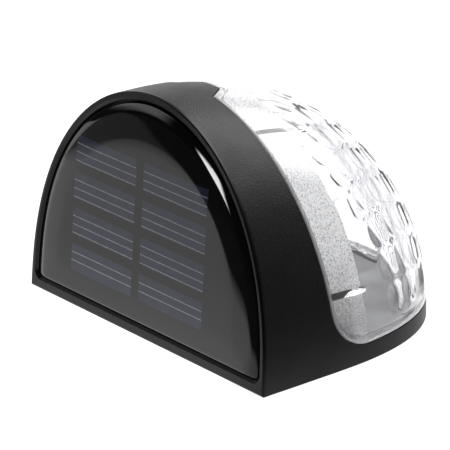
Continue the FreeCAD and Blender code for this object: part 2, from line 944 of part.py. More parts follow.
def reflector():
    """An upright plate with six cups, and a tray that lines the floor of the lens."""
    form = dome(get("flange_back") + get("reflector_gap"))
    front = get("reflector_front")
    back = get("reflector_back")
    foot = get("reflector_foot")
    plate = form.common(slab(front, back)).common(layer(foot, REACH))
    tray = form.common(slab(front, REACH)).common(layer(foot, get("tray_top")))
    body = plate.fuse(tray)
    wall = get("cup_wall")
    narrow = get("lamp_hole") / 2
    wide = get("cup_mouth") / 2
    depth = get("cup_depth")
    toward_lens = Vector(0, 1, 0)
    for across, up in lamp_places():
        start = Vector(across, back, up)
        body = body.fuse(Part.makeCone(narrow + wall, wide, depth, start, toward_lens))
    for across, up in lamp_screw_places():
        body = body.fuse(along_depth(get("small_boss"), front, back + depth / 2, across, up))
    for side in (-1, 1):
        across = side * get("tray_screw_side")
        top = get("screw_face") + get("small_screw_length") + get("reflector_wall")
        boss = upright(get("small_boss"), foot, top, across, get("tray_screw_front"))
        body = body.fuse(boss)
    for across, up in lamp_places():
        start = Vector(across, back, up)
        body = body.cut(Part.makeCone(narrow, wide - wall, depth, start, toward_lens))
        body = body.cut(along_depth(get("lamp_hole"), front, back, across, up))
    hole = get("small_screw_shank") + 2 * get("screw_gap")
    for across, up in lamp_screw_places():
        end = get("lamp_board_back") + get("small_screw_length") - get("screw_gap")
        body = body.cut(along_depth(hole, front, end, across, up))
    for side in (-1, 1):
        across = side * get("tray_screw_side")
        top = get("screw_face") + get("small_screw_length") + get("screw_gap")
        body = body.cut(upright(hole, foot, top, across, get("tray_screw_front")))
    moulded("reflector", body)


# ---------------------------------------------------------------- bodies


def sunk_screw(name, across, along, shank, head, length):
    """A flat-headed screw, put in from the wall side, with a cross slot."""
    depth = f"(({head}) - ({shank})) / 2"
    body = turned(
        name,
        [
            ("0", "0"),
            (f"({head}) / 2", "0"),
            (f"({shank}) / 2", depth),
            (f"({shank}) / 2", f"{length} - ({shank}) / 2"),
            ("0", length),
        ],
    )
    slot = new_sketch(body, name + "_slot", "XY_Plane")
    arm = f"({head}) * slot_reach_share"
    half = f"({head}) * slot_half_share"
    polygon(
        slot,
        [
            (f"-{arm}", f"-{half}"),
            (f"-{half}", f"-{half}"),
            (f"-{half}", f"-{arm}"),
            (half, f"-{arm}"),
            (half, f"-{half}"),
            (arm, f"-{half}"),
            (arm, half),
            (half, half),
            (half, arm),
            (f"-{half}", arm),
            (f"-{half}", half),
            (f"-{arm}", half),
        ],
    )
    pocket = body.newObject("PartDesign::Pocket", name + "_cross")
    pocket.Profile = slot
    pocket.Reversed = True
    bind(pocket, "Length", f"({head}) * slot_depth_share")
    place(body, across, along, "screw_face")
    return body


def base_screws():
    screws = []
    for side in (-1, 1):
        screws.append(
            sunk_screw(
                f"base_screw_{'left' if side < 0 else 'right'}",
                f"{side} * base_screw_side",
                "base_screw_front",
                "base_screw_shank",
                "base_screw_head",
                "base_screw_length",
            )
        )
    keep(group("base_screw_group", screws), "base_screws")


def tray_screws():
    screws = []
    for side in (-1, 1):
        name = f"tray_screw_{'left' if side < 0 else 'right'}"
        screws.append(
            sunk_screw(
                name,
                f"{side} * tray_screw_side",
                "tray_screw_front",
                "small_screw_shank",
                "small_screw_head",
                "small_screw_length",
            )
        )
    keep(group("tray_screw_group", screws), "tray_screws")


def pan_screw(name):
    """A small screw with a low round head; its seat is at height 0, head above."""
    return turned(
        name,
        [
            ("0", "-small_screw_length + board_thick"),
            ("small_screw_shank / 2", "-small_screw_length + board_thick + small_screw_shank / 2"),
            ("small_screw_shank / 2", "board_thick"),
            ("small_screw_head / 2", "board_thick"),
            ("small_screw_head / 2", "board_thick + small_screw_head_edge"),
            ("small_screw_head_top / 2", "board_thick + small_screw_head_thick"),
            ("0", "board_thick + small_screw_head_thick"),
        ],
    )


def board_screws():
    screws = []
    for side in (-1, 1):
        body = pan_screw(f"board_screw_{'left' if side < 0 else 'right'}")
        along = f"holder_middle - {side} * holder_boss_offset"
        place(body, f"{side} * holder_boss_side", along, "board_under")
        screws.append(body)
    keep(group("board_screw_group", screws), "control_board_screws")


def lamp_board_screws():
    screws = []
    for side in (-1, 1):
        body = pan_screw(f"lamp_screw_{'left' if side < 0 else 'right'}")
        place(body, f"{side} * lamp_screw_side", "reflector_front", "lamp_middle")
        body.Placement.Rotation = Rotation(Vector(1, 0, 0), 90)
        screws.append(body)
    keep(group("lamp_screw_group", screws), "led_board_screws")


def control_board():
    body = doc.addObject("PartDesign::Body", "control_board_body")
    sketch = new_sketch(body, "control_board_outline", "XY_Plane")
    rectangle(sketch, "board_length", "board_width", "-board_width / 2")
    hole = "small_screw_shank + 2 * screw_gap"
    circle(sketch, hole, "-holder_boss_side", "holder_boss_offset", "left_hole")
    circle(sketch, hole, "holder_boss_side", "-holder_boss_offset", "right_hole")
    pad(body, sketch, "board_thick")
    place(body, "0", "holder_middle", "board_under")
    keep(body, "control_board")


def led_board():
    body = doc.addObject("PartDesign::Body", "led_board_body")
    sketch = new_sketch(body, "led_board_outline", "XZ_Plane")
    rectangle(sketch, "lamp_board_width", "lamp_board_height", "-lamp_board_height / 2")
    hole = "small_screw_shank + 2 * screw_gap"
    circle(sketch, hole, "-lamp_screw_side", "0", "left_hole")
    circle(sketch, hole, "lamp_screw_side", "0", "right_hole")
    pad(body, sketch, "board_thick")
    place(body, "0", "reflector_front", "lamp_middle")
    keep(body, "led_board")


def leds():
    lamps = []
    for row in (-1, 1):
        for column in (-1, 0, 1):
            lamps.append(
                block(
                    f"lamp_{row + 1}_{column + 1}",
                    "lamp_size",
                    "lamp_thick",
                    "lamp_size",
                    f"{column} * lamp_pitch_across",
                    "reflector_front",
                    f"lamp_middle + {row} * lamp_pitch_up / 2 - lamp_size / 2",
                )
            )
    keep(group("lamp_group", lamps), "leds")


def battery_cell():
    body = turned(
        "battery_body",
        [
            ("0", "0"),
            ("battery_diameter / 2 - battery_edge", "0"),
            ("battery_diameter / 2", "battery_edge"),
            ("battery_diameter / 2", "battery_length - nub_length - battery_edge"),
            ("battery_diameter / 2 - battery_edge", "battery_length - nub_length"),
            ("nub_diameter / 2", "battery_length - nub_length"),
            ("nub_diameter / 2", "battery_length"),
            ("0", "battery_length"),
        ],
    )
    place(body, "holder_inner / 2 - spring_length", "holder_middle", "holder_axis")
    body.Placement.Rotation = Rotation(Vector(0, 1, 0), -90)
    keep(body, "battery_cell")


def battery_holder():
    middle = "holder_middle"
    foot = "pocket_top"
    outer = block(
        "holder_block",
        "holder_outer",
        "holder_width",
        "holder_height",
        "0",
        "holder_front",
        foot,
    )
    inner_width = "battery_diameter + 2 * holder_gap"
    trough = block(
        "holder_trough",
        "holder_inner",
        inner_width,
        "holder_height",
        "0",
        "holder_front + holder_wall",
        f"{foot} + holder_wall",
    )
    opening = block(
        "holder_opening",
        "holder_inner",
        "holder_width",
        "holder_height",
        "0",
        "holder_front",
        f"{foot} + holder_side_height",
    )
    shell = cut("holder_shell", outer, [trough, opening])
    bosses = []
    holes = []
    for side, name in ((-1, "left"), (1, "right")):
        along = f"{middle} - {side} * holder_boss_offset"
        across = f"{side} * holder_boss_side"
        bosses.append(rod(f"holder_boss_{name}", "small_boss", "holder_height", across, along, foot))
        depth = "small_screw_length - board_thick + screw_gap"
        up = f"board_under - ({depth})"
        bore = "small_screw_shank + 2 * screw_gap"
        holes.append(rod(f"holder_hole_{name}", bore, depth, across, along, up))
    whole = fused("holder_whole", [shell] + bosses)
    keep(cut("holder_final", whole, [trough] + holes), "battery_holder")


def battery_contacts():
    """A flat contact at one end of the cell and a folded leaf spring at the other."""
    plate = block(
        "plate_contact_block",
        "contact_thick",
        "contact_width",
        "contact_width",
        "-holder_inner / 2 + contact_thick / 2",
        "holder_middle - contact_width / 2",
        "holder_axis - contact_width / 2",
    )
    keep(plate, "battery_contact")
    leaf = doc.addObject("PartDesign::Body", "spring_body")
    sketch = new_sketch(leaf, "spring_outline", "XZ_Plane")
    top = "contact_width / 2"
    polygon(
        sketch,
        [
            ("0", f"-{top}"),
            ("-contact_thick", f"-{top}"),
            ("-spring_length", "-contact_thick"),
            ("-spring_length", "contact_thick"),
            ("-2 * contact_thick", f"{top} - 2 * contact_thick"),
            ("-2 * contact_thick", f"{top} - 2 * contact_thick - 2 * spring_slant"),
            ("-spring_length + spring_slant", "0"),
            ("-contact_thick", f"-{top} + contact_thick + spring_slant"),
            ("-contact_thick", top),
            ("0", top),
        ],
    )
    pad(leaf, sketch, "contact_width")
    place(leaf, "holder_inner / 2", f"holder_middle + {top}", "holder_axis")
    keep(leaf, "battery_spring")


def power_button():
    cap = "button_cap / 2"
    flange = "button_flange / 2"
    stem = "button_stem / 2"
    body = turned(
        "button_body",
        [
            ("0", "button_face"),
            (f"{cap} - button_edge", "button_face"),
            (cap, "button_face + button_edge"),
            (cap, "flange_under"),
            (flange, "flange_under"),
            (flange, "flange_top"),
            (stem, "flange_top"),
            (stem, "stem_top"),
            ("0", "stem_top"),
        ],
    )
    place(body, "button_side", "button_front", "0")
    keep(body, "power_button")


def switch_body():
    hole = "button_stem / 2 + button_gap"
    floor = "stem_top + button_travel + screw_gap"
    body = turned(
        "switch_turned",
        [
            (hole, "tube_top"),
            ("tube_outer", "tube_top"),
            ("tube_outer", "tube_top + switch_height"),
            ("0", "tube_top + switch_height"),
            ("0", floor),
            (hole, floor),
        ],
    )
    place(body, "button_side", "button_front", "0")
    keep(body, "switch_body")


def wall_bracket():
    plate = block(
        "bracket_plate",
        "bracket_width - 2 * bracket_lip",
        "bracket_length",
        "bracket_thick",
        "0",
        "bracket_front",
        "0",
    )
    lips = block(
        "bracket_lips",
        "bracket_width",
        "bracket_lip_length",
        "bracket_lip_thick",
        "0",
        "bracket_front + (bracket_length - bracket_lip_length) / 2",
        "bracket_thick - bracket_lip_thick",
    )
    tools = []
    for side, name in ((-1, "left"), (1, "right")):
        across = f"{side} * bracket_pitch / 2"
        along = "bracket_front + bracket_length / 2"
        tools.append(rod(f"bracket_hole_{name}", "bracket_hole", "bracket_thick", across, along, "0"))
        up = "bracket_thick - bracket_sink_depth"
        tools.append(
            cone(
                f"bracket_sink_{name}",
                "bracket_hole",
                "bracket_sink",
                "bracket_sink_depth",
                across,
                along,
                up,
            )
        )
    whole = fused("bracket_whole", [plate, lips])
    keep(cut("bracket_final", whole, tools), "wall_bracket")


def board_parts():
    """What stands on the control board."""
    chip = block(
        "chip_block",
        "chip_length",
        "chip_width",
        "chip_thick",
        "chip_side",
        "holder_middle - chip_width / 2",
        "board_top",
    )
    keep(chip, "driver_chip")
    core = rod(
        "coil_core",
        "coil_diameter",
        "coil_height",
        "coil_side",
        "holder_middle",
        "board_top",
    )
    keep(core, "boost_coil")
    can = rod(
        "capacitor_can",
        "capacitor_diameter",
        "capacitor_height",
        "capacitor_side",
        "holder_middle",
        "board_top",
    )
    keep(can, "capacitor")


# ---------------------------------------------------------------- leads


def lead(points):
    """A round wire along straight runs joined by arcs as large as the runs allow."""
    radius = get("lead_diameter") / 2
    edges = []
    start = points[0]
    for index in range(1, len(points) - 1):
        corner = points[index]
        before = (points[index - 1] - corner).normalize()
        after = (points[index + 1] - corner).normalize()
        run = min((points[index - 1] - corner).Length, (points[index + 1] - corner).Length)
        reach = get("lead_bend_share") * run
        half_angle = before.getAngle(after) / 2
        bend = reach * math.tan(half_angle)
        first = corner + before * reach
        last = corner + after * reach
        inward = (before + after).normalize()
        middle = corner + inward * (bend / math.sin(half_angle) - bend)
        edges.append(Part.makeLine(start, first))
        edges.append(Part.Arc(first, middle, last).toShape())
        start = last
    edges.append(Part.makeLine(start, points[-1]))
    path = Part.Wire(edges)
    heading = points[1] - points[0]
    section = Part.Wire(Part.makeCircle(radius, points[0], heading))
    return path.makePipeShell([section], True, False)


def pair(points):
    """Two such wires side by side."""
    shift = Vector(get("lead_gap"), 0, 0)
    return Part.makeCompound([lead(points), lead([point + shift for point in points])])


def leads():
    board_top = get("board_top")
    middle = get("holder_middle")
    lean = math.tan(math.radians(get("front_lean")))
    rise = board_top + get("lead_rise")
    row = get("lead_row")
    panel_z = board_top + get("solar_lead_up")
    slant = math.cos(math.radians(get("front_lean")))
    panel_y = get("panel_board_back") / slant + (panel_z + get("lead_diameter")) * lean
    side = get("solar_lead_side")
    solar = [
        Vector(side, panel_y, panel_z),
        Vector(side, panel_y + get("solar_lead_reach"), panel_z),
        Vector(side, middle - row, rise),
        Vector(side, middle - row, board_top),
    ]
    moulded("solar_leads", pair(solar))
    side = get("lamp_lead_side")
    lamp_back = get("lamp_board_back")
    lamp = [
        Vector(side, lamp_back, get("lamp_middle")),
        Vector(side, lamp_back - get("lamp_lead_reach"), get("lamp_middle")),
        Vector(side, middle + row, rise),
        Vector(side, middle + row, board_top),
    ]
    moulded("led_leads", pair(lamp))
    switch_top = get("tube_top") + get("switch_height")
    button_y = get("button_front")
    outside = get("board_length") / 2 + get("switch_lead_out")
    inside = get("board_length") / 2 - get("switch_lead_in")
    switch = [
        Vector(outside, button_y, switch_top),
        Vector(outside, button_y, rise),
        Vector(inside, button_y, rise),
        Vector(inside, button_y, board_top),
    ]
    moulded("switch_leads", lead(switch))


# ---------------------------------------------------------------- build and write


def check_and_export():
    doc.recompute()
    for thing in doc.Objects:
        if "Invalid" in thing.State or "Error" in thing.State:
            raise RuntimeError(f"{thing.Name} failed: {thing.State}")
    os.makedirs("parts", exist_ok=True)
    for thing in parts:
        shape = thing.Shape
        if shape.isNull() or not shape.isValid() or not shape.Solids:
            raise RuntimeError(f"{thing.Label} has no valid solid")
    for thing in parts:
        thing.Shape.exportStep(f"parts/{thing.Label}.step")
        bounds = thing.Shape.BoundBox
        print(
            f"{thing.Label:22s} solids {len(thing.Shape.Solids)}"
            f" volume {thing.Shape.Volume:9.1f}"
            f" x {bounds.XMin:7.2f} {bounds.XMax:7.2f}"
            f" y {bounds.YMin:7.2f} {bounds.YMax:7.2f}"
            f" z {bounds.ZMin:6.2f} {bounds.ZMax:6.2f}"
        )


fill_sheet()
housing_shell()
front_bezel()
solar_cover()
solar_cells()
solar_board()
solar_pad()
clear_lens()
lens_seal()
base_plate()
base_seal()
base_screws()
reflector()
tray_screws()
led_board()
leds()
lamp_board_screws()
battery_holder()
battery_cell()
battery_contacts()
control_board()
board_screws()
board_parts()
power_button()
switch_body()
wall_bracket()
leads()
check_and_export()
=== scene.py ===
# %% [markdown]
# # A half-round solar fence light
# The light stands on the flat face that goes to the wall. Its leaning solar face looks to the
# front, a black shell runs round it, and a clear dimpled lens closes the far side. The packed
# CAD model is the frame: most pieces keep their CAD shape and get a finish here. Two are
# modelled again: the lens, and the resin of the solar panel with its cells and silver lines.

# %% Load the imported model
import json
import math

import bmesh
import bpy
import numpy as np
from mathutils import Matrix, Vector


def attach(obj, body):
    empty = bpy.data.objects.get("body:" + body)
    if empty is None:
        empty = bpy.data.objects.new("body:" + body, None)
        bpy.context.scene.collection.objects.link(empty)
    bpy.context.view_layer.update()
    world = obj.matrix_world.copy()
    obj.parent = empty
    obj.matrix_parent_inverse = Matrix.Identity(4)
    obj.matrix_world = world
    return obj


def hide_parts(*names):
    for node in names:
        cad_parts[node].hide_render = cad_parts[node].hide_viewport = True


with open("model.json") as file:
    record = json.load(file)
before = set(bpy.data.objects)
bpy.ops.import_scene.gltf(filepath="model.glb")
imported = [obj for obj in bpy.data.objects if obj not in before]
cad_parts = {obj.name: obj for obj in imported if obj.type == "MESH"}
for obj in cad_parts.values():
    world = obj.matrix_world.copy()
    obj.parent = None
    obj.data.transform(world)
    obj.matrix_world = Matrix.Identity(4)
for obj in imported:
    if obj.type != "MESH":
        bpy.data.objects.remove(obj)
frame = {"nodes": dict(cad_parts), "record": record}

bpy.context.view_layer.update()
MM = 0.001
scene = bpy.context.scene

# %% [markdown]
# ## The camera
# A product photo like this one is taken with a long lens from some way off, so that the far
# side hardly gets smaller. The camera is put where a fit of the light's outline says it stood.
# Its three axes are given straight as the columns of its matrix, which avoids a target object.

# %% Camera
CAMERA_PLACE = Vector((610.66, -511.55, 330.57)) * MM
CAMERA_RIGHT = Vector((0.6346, 0.7729, -0.0049))
CAMERA_UP = Vector((-0.2751, 0.2318, 0.9331))

camera = bpy.data.objects.new("camera", bpy.data.cameras.new("camera"))
scene.collection.objects.link(camera)
right = CAMERA_RIGHT.normalized()
back = right.cross(CAMERA_UP).normalized()
axes = Matrix((right, back.cross(right), back)).transposed()
camera.matrix_world = Matrix.Translation(CAMERA_PLACE) @ axes.to_4x4()
camera.data.lens = 240
camera.data.sensor_width = 36
camera.data.clip_start = 0.05
camera.data.clip_end = 20
scene.camera = camera
print("camera looks along", [round(v, 3) for v in -back])

# %% [markdown]
# ## The outer form as a formula
# The part's source makes the outer form from superellipses: an arch across, which shrinks
# towards the far end in two fades. The same formula is used here for the lens, so that the
# lens lies in the shell's opening exactly. NumPy works it out for whole rows at once. All
# lengths are in mm until a mesh is finished.

# %% Outer form
WIDTH, HEIGHT, DEPTH = 105.0, 70.3, 85.0
STRAIGHT = 24.5
LEAN = math.radians(4.28)
PLAN_POWER, CROWN_POWER = 2.58, 2.4
ARCH_SIDE, ARCH_CROWN = 1.95, 2.29
DOME_END = 0.999


def fade(share, power):
    return np.maximum(0.0, 1 - share**power) ** (1 / power)


def section(along):
    """Half width and height of the arch at a depth behind the solar face."""
    share = DOME_END * along / DEPTH
    curved = np.maximum(0.0, DOME_END * (along - STRAIGHT) / (DEPTH - STRAIGHT))
    return WIDTH / 2 * fade(curved, PLAN_POWER), HEIGHT * fade(share, CROWN_POWER)


def arch(turn, half, height):
    """A place on an arch; turn runs from the right foot over the crown to the left one."""
    across = np.sign(np.cos(turn)) * half * np.abs(np.cos(turn)) ** (2 / ARCH_SIDE)
    return across, height * np.abs(np.sin(turn)) ** (2 / ARCH_CROWN)


def form_point(turn, along):
    """A point of the outer form."""
    across, up = arch(turn, *section(along))
    depth = along + (1 - along / DEPTH) * math.tan(LEAN) * up
    return np.stack([across, depth, up], axis=-1)


print("crown half way along", np.round(form_point(math.pi / 2, DEPTH / 2), 2))

# %% [markdown]
# ## The edge of the lens
# The shell's opening is a straight leaning cut, a low sill and a round corner between them,
# and a short tongue of the shell runs into it on the crown. The distance from that outline
# shapes the rim of the lens. The distance behind the straight cut alone says where its
# frosted band ends.

# %% Distance from the lens edge
WINDOW_FOOT = 27.1
WINDOW_LEAN = math.radians(5.9)
SILL = 5.0
CORNER = 14.0
GAP = 0.2
TONGUE_ROOT, TONGUE_TIP = 20.3, 25.8
TONGUE_ROOT_HALF, TONGUE_TIP_HALF = 7.5, 3.5


def window_line(points):
    """Distance behind the straight leaning cut."""
    offset = points[..., 1] - WINDOW_FOOT + math.tan(WINDOW_LEAN) * points[..., 2]
    return offset * math.cos(WINDOW_LEAN)


def window_distance(points):
    """Distance inside the cut, the sill and the round corner between them."""
    line = window_line(points)
    sill = points[..., 2] - SILL
    cos, sin = math.cos(WINDOW_LEAN), math.sin(WINDOW_LEAN)
    # place from the corner's centre, split along the two inward normals (cos, sin), (0, 1)
    from_line, from_sill = CORNER - line, CORNER - sill
    step_line = (from_line - sin * from_sill) / cos**2
    step_sill = (from_sill - sin * from_line) / cos**2
    depth_step = step_line * cos
    up_step = step_line * sin + step_sill
    rounded = CORNER - np.hypot(depth_step, up_step)
    in_corner = (step_line > 0) & (step_sill > 0)
    return np.where(in_corner, rounded, np.minimum(line, sill))


def tongue_distance(points):
    """Distance outside the shell's tongue, which counts as far off below the crown."""
    across = np.abs(points[..., 0])
    run = TONGUE_TIP - TONGUE_ROOT
    fall = TONGUE_ROOT_HALF - TONGUE_TIP_HALF
    slant = (across - TONGUE_ROOT_HALF) * run + (points[..., 1] - TONGUE_ROOT) * fall
    slant = slant / math.hypot(run, fall)
    tongue = np.maximum(np.maximum(points[..., 1] - TONGUE_TIP, slant), across - TONGUE_ROOT_HALF)
    return np.where(points[..., 2] > HEIGHT / 2, tongue, CORNER)


def edge_distance(points):
    """Distance inside the lens edge, which stands back from the shell by a gap."""
    return np.minimum(window_distance(points), tongue_distance(points)) - GAP


# %% [markdown]
# ## Columns and rows of the lens
# A lens like this is moulded in one shot, so one even net of faces suits it. Each column
# runs from the front edge over the dome to the far sill, and its rows are spread by true
# length, close together at the rim where the edge is rounded and even beyond. The columns
# stand closest at the two sills.

# %% Net of the lens
STEP = 0.62
RIM_ROWS = [0.0, 0.06, 0.15, 0.3, 0.5, 0.8, 1.2, 1.6, 1.9, 2.1, 2.5, 3.0]
ARCH_LENGTH = 132.0
SILL_COLUMNS, SILL_STEP = 9, 0.035
COLUMN_START, COLUMN_SAMPLES = 0.1, 500
EDGE_SLACK = 0.005


def column_shares():
    """Places of the columns from 0 at the right sill to 1 at the left one."""
    near = [SILL_STEP * k * k / ARCH_LENGTH for k in range(SILL_COLUMNS)]
    count = int(ARCH_LENGTH * (0.5 - near[-1]) / STEP)
    half = near + list(np.linspace(near[-1], 0.5, count + 1)[1:])
    return np.array(half + [1 - share for share in reversed(half[:-1])])


def column_points(share):
    """One column as closely spaced points, from the front edge to the far sill."""
    # the last stretch needs the finest steps, because the form turns down there
    along = DEPTH * (1 - (1 - np.linspace(COLUMN_START, 1, COLUMN_SAMPLES)) ** 2)
    height = section(along)[1]
    lift = (SILL + GAP) / np.maximum(height, SILL + GAP)
    start = np.arcsin(np.minimum(1, lift ** (ARCH_CROWN / 2)))
    points = form_point(start + share * (math.pi - 2 * start), along)
    keep = (height > SILL + GAP) & (edge_distance(points) > -EDGE_SLACK)
    first = int(np.argmax(keep))
    if first > 0:
        # the last point outside is drawn in until it lies on the edge
        inner, outer = edge_distance(points[first]), edge_distance(points[first - 1])
        blend = np.clip(inner / (inner - outer), 0, 1)
        points[first - 1] = points[first] + blend * (points[first - 1] - points[first])
        first -= 1
    last = len(keep) - int(np.argmax(keep[::-1]))
    return points[first:last]


def total_length(points):
    return float(np.linalg.norm(np.diff(points, axis=0), axis=1).sum())


def way_along(points):
    """Length of the way from the first point to each point."""
    return np.concatenate([[0], np.cumsum(np.linalg.norm(np.diff(points, axis=0), axis=1))])


def resample(points, distances):
    """The places that lie so far along the way through the points."""
    way = way_along(points)
    return np.stack([np.interp(distances, way, points[:, i]) for i in range(3)], axis=-1)


shares = column_shares()
columns = [column_points(share) for share in shares]
lengths = np.array([total_length(points) for points in columns])
free_rows = int((lengths.max() - RIM_ROWS[-1]) / STEP)
net = []
for points, length in zip(columns, lengths):
    rest = np.linspace(RIM_ROWS[-1], length, free_rows + 1)[1:]
    net.append(resample(points, np.concatenate([RIM_ROWS, rest])))
net = np.array(net)
print("lens net", net.shape, "columns from", round(lengths.min(), 1), "to", round(lengths.max(), 1))

# %% [markdown]
# ## Where the dimples lie
# The lens spreads the light of a few lamps with rows of shallow oval bowls. They lie in
# curved rows that follow the front edge, each row shifted by half a pitch against the next,
# so their rims meet in a web. Every bowl gets a centre and its own two directions.

# %% Places of the dimples
FIRST_ROW, ROW_PITCH, DIMPLE_PITCH = 25.3, 8.6, 9.9
END_MARGIN, SILL_MARGIN = 4.0, 6.2
LOOK_AHEAD = 0.5
LEAST_LENGTH = 1e-6


def row_curve(distance):
    """The curve at one distance from the front edge, through the columns that are long enough."""
    curve = np.array([resample(points, [distance])[0] for points in columns])
    return curve[lengths - distance > END_MARGIN]


def unit(vector):
    return vector / max(np.linalg.norm(vector), LEAST_LENGTH)


def dimple_row(distance, shift):
    """The bowls of one row: centre, direction along the row and direction across it."""
    curve, behind = row_curve(distance), row_curve(distance + LOOK_AHEAD)
    length = way_along(curve)[-1]
    count = int(length / 2 / DIMPLE_PITCH) + 1
    row = []
    for k in range(-count - 1, count + 1):
        place = length / 2 + (k + shift) * DIMPLE_PITCH
        if not 0 < place < length:
            continue
        centre, ahead = resample(curve, [place, place + LOOK_AHEAD])
        if centre[2] < SILL + SILL_MARGIN:
            continue
        along_row = unit(ahead - centre)
        across_row = behind[np.argmin(np.linalg.norm(behind - centre, axis=1))] - centre
        across_row = unit(across_row - along_row * (across_row @ along_row))
        row.append((centre, along_row, across_row))
    return row


dimples = []
n_dimple_rows = 0
while FIRST_ROW + n_dimple_rows * ROW_PITCH < lengths.max() - END_MARGIN:
    shift = 0.5 if n_dimple_rows % 2 else 0.0
    dimples += dimple_row(FIRST_ROW + n_dimple_rows * ROW_PITCH, shift)
    n_dimple_rows += 1
print(len(dimples), "dimples in", n_dimple_rows, "rows")

# %% [markdown]
# ## Bowls and ribs
# A bowl is a round hollow, stretched a little along its row. Where two bowls meet, the deeper
# one counts. A second number says how near a place is to a bowl's lip, for a painted shade
# there later: a lilac grey ring, darker on the side towards the front edge, that stands in for
# light the plastic bends away. Inside the lens four ribs stiffen its front and taper off behind it.

# %% Bowls and ribs
DIMPLE_HALF = (5.1, 4.35)
DIMPLE_DEPTH = 0.6
BOWL_REACH = 4.0
# where the ring of painted shade lies on a bowl and how wide it is, then how dark it is all round
# and how much darker on the side towards the front edge
LIP_SHADE_PLACE, LIP_SHADE_WIDTH = 0.9, 0.22
LIP_SHADE_EVEN, LIP_SHADE_ONE_SIDED = 0.6, 0.4
LEAST_REACH = 0.1
RIB_PLACES = (0.07, 0.346)
RIB_HEIGHT = 2.0
RIB_HALF, RIB_TIP_HALF = 0.75, 0.02
RIB_FULL, RIB_END = 34.0, 42.0
RIB_SLOPE = 1.6


def bowls(points):
    """How deep the bowls go at these points, and how strong the painted shade at a bowl's lip is
    there.
    """
    depth = np.zeros(points.shape[:-1])
    lip = np.zeros(points.shape[:-1])
    for centre, along_row, across_row in dimples:
        offset = points - centre
        first = offset @ along_row / DIMPLE_HALF[0]
        second = offset @ across_row / DIMPLE_HALF[1]
        # the far side of the dome lies in line with the bowl, but isn't near it
        near = np.abs(offset @ np.cross(along_row, across_row)) < BOWL_REACH
        bowl = DIMPLE_DEPTH * np.clip(1 - first**2 - second**2, 0, None)
        depth = np.where(near, np.maximum(depth, bowl), depth)
        reach = np.sqrt(first**2 + second**2)
        # a ring of painted shade just inside the lip, darker on the side towards the front edge
        ring = np.clip(1 - np.abs(reach - LIP_SHADE_PLACE) / LIP_SHADE_WIDTH, 0, 1)
        ring *= LIP_SHADE_EVEN - LIP_SHADE_ONE_SIDED * second / np.maximum(reach, LEAST_REACH)
        lip = np.where(near, np.maximum(lip, ring), lip)
    return depth, lip


def rib_height(points):
    """How far the ribs stand up at these points, two on each side of the lens."""
    height = np.zeros(points.shape[:-1])
    taper = np.clip((RIB_END - points[..., 1]) / (RIB_END - RIB_FULL), 0, 1)
    half = RIB_HALF * taper + RIB_TIP_HALF
    for share in RIB_PLACES:
        index = int(np.argmin(np.abs(shares - share)))
        for column in (index, len(shares) - 1 - index):
            width = np.linalg.norm(points - net[column][None, :, :], axis=-1)
            flank = np.clip(RIB_SLOPE - RIB_SLOPE * width / half, 0, 1)
            height = np.maximum(height, RIB_HEIGHT * taper * flank)
    return height


# %% [markdown]
# ## From a mesh to a piece
# New pieces are modelled in mm, from the foot of the solar face. One function moves the
# finished mesh into the frame, in metres, so the object itself stays at the origin.

# %% Helpers for new pieces
def make_piece(name, mesh_builder, body="light"):
    """Turn a bmesh in mm in the source's local depth into a piece of the light."""
    mesh = bpy.data.meshes.new(name)
    mesh_builder.transform(Matrix.Translation((0, -DEPTH / 2 * MM, 0)) @ Matrix.Scale(MM, 4))
    mesh_builder.to_mesh(mesh)
    mesh_builder.free()
    piece = bpy.data.objects.new(name, mesh)
    scene.collection.objects.link(piece)
    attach(piece, body)
    return piece


def shade_smooth(mesh_builder, crease):
    """Smooth shading that stays sharp at edges of more than so many degrees."""
    for face in mesh_builder.faces:
        face.smooth = True
    for edge in mesh_builder.edges:
        sharp = len(edge.link_faces) != 2 or edge.calc_face_angle() > math.radians(crease)
        edge.smooth = not sharp


# %% [markdown]
# ## The lens as one skin
# A flat grid is laid onto the net and turned to face outwards. Each corner keeps its column
# and row, and its distances from the edge, in layers that stay with it while the skins are
# shaped.

# %% Lens, first skin
bm = bmesh.new()
n_columns, n_rows = net.shape[:2]
bmesh.ops.create_grid(bm, x_segments=n_columns - 1, y_segments=n_rows - 1, size=1.0)
column_layer, row_layer = [bm.verts.layers.int.new(name) for name in ("column", "row")]
edge_layer, line_layer, inner_layer, rib_layer, lip_shade_layer = [
    bm.verts.layers.float.new(name) for name in ("edge_mm", "line_mm", "inner", "rib", "lip")
]
edge_mm, line_mm = edge_distance(net), window_line(net)
for vert in bm.verts:
    column = round((vert.co.x + 1) / 2 * (n_columns - 1))
    row = round((vert.co.y + 1) / 2 * (n_rows - 1))
    vert.co = net[column, row]
    vert[column_layer], vert[row_layer] = column, row
    vert[edge_layer], vert[line_layer] = edge_mm[column, row], line_mm[column, row]
bm.normal_update()
middle = Vector((0, DEPTH / 2, 0))
facing = sum(face.normal.dot(face.calc_center_median() - middle) for face in bm.faces)
if facing < 0:
    bmesh.ops.reverse_faces(bm, faces=bm.faces[:])
    bm.normal_update()
normals = np.zeros(net.shape)
for vert in bm.verts:
    normals[vert[column_layer], vert[row_layer]] = vert.normal
print("one skin of", len(bm.faces), "faces, turned over:", facing < 0)

# %% [markdown]
# ## Two skins and a wall
# The skin is extruded once, which leaves a second one and joins the two all round. Each then
# sinks below the net by its own depth: the outer one for its rounded rim and the bowls, the
# inner one for the wall, a deep rim and the ribs. Equal bowls in both skins would cancel like
# a window pane, so only the outer skin has them.

# %% Lens, both skins
LENS_WALL = 2.0
RIM_WIDTH, RIM_EXTRA = 2.0, 1.5
EDGE_ROUND = 0.5
WELD = 0.002
LENS_CREASE = 50

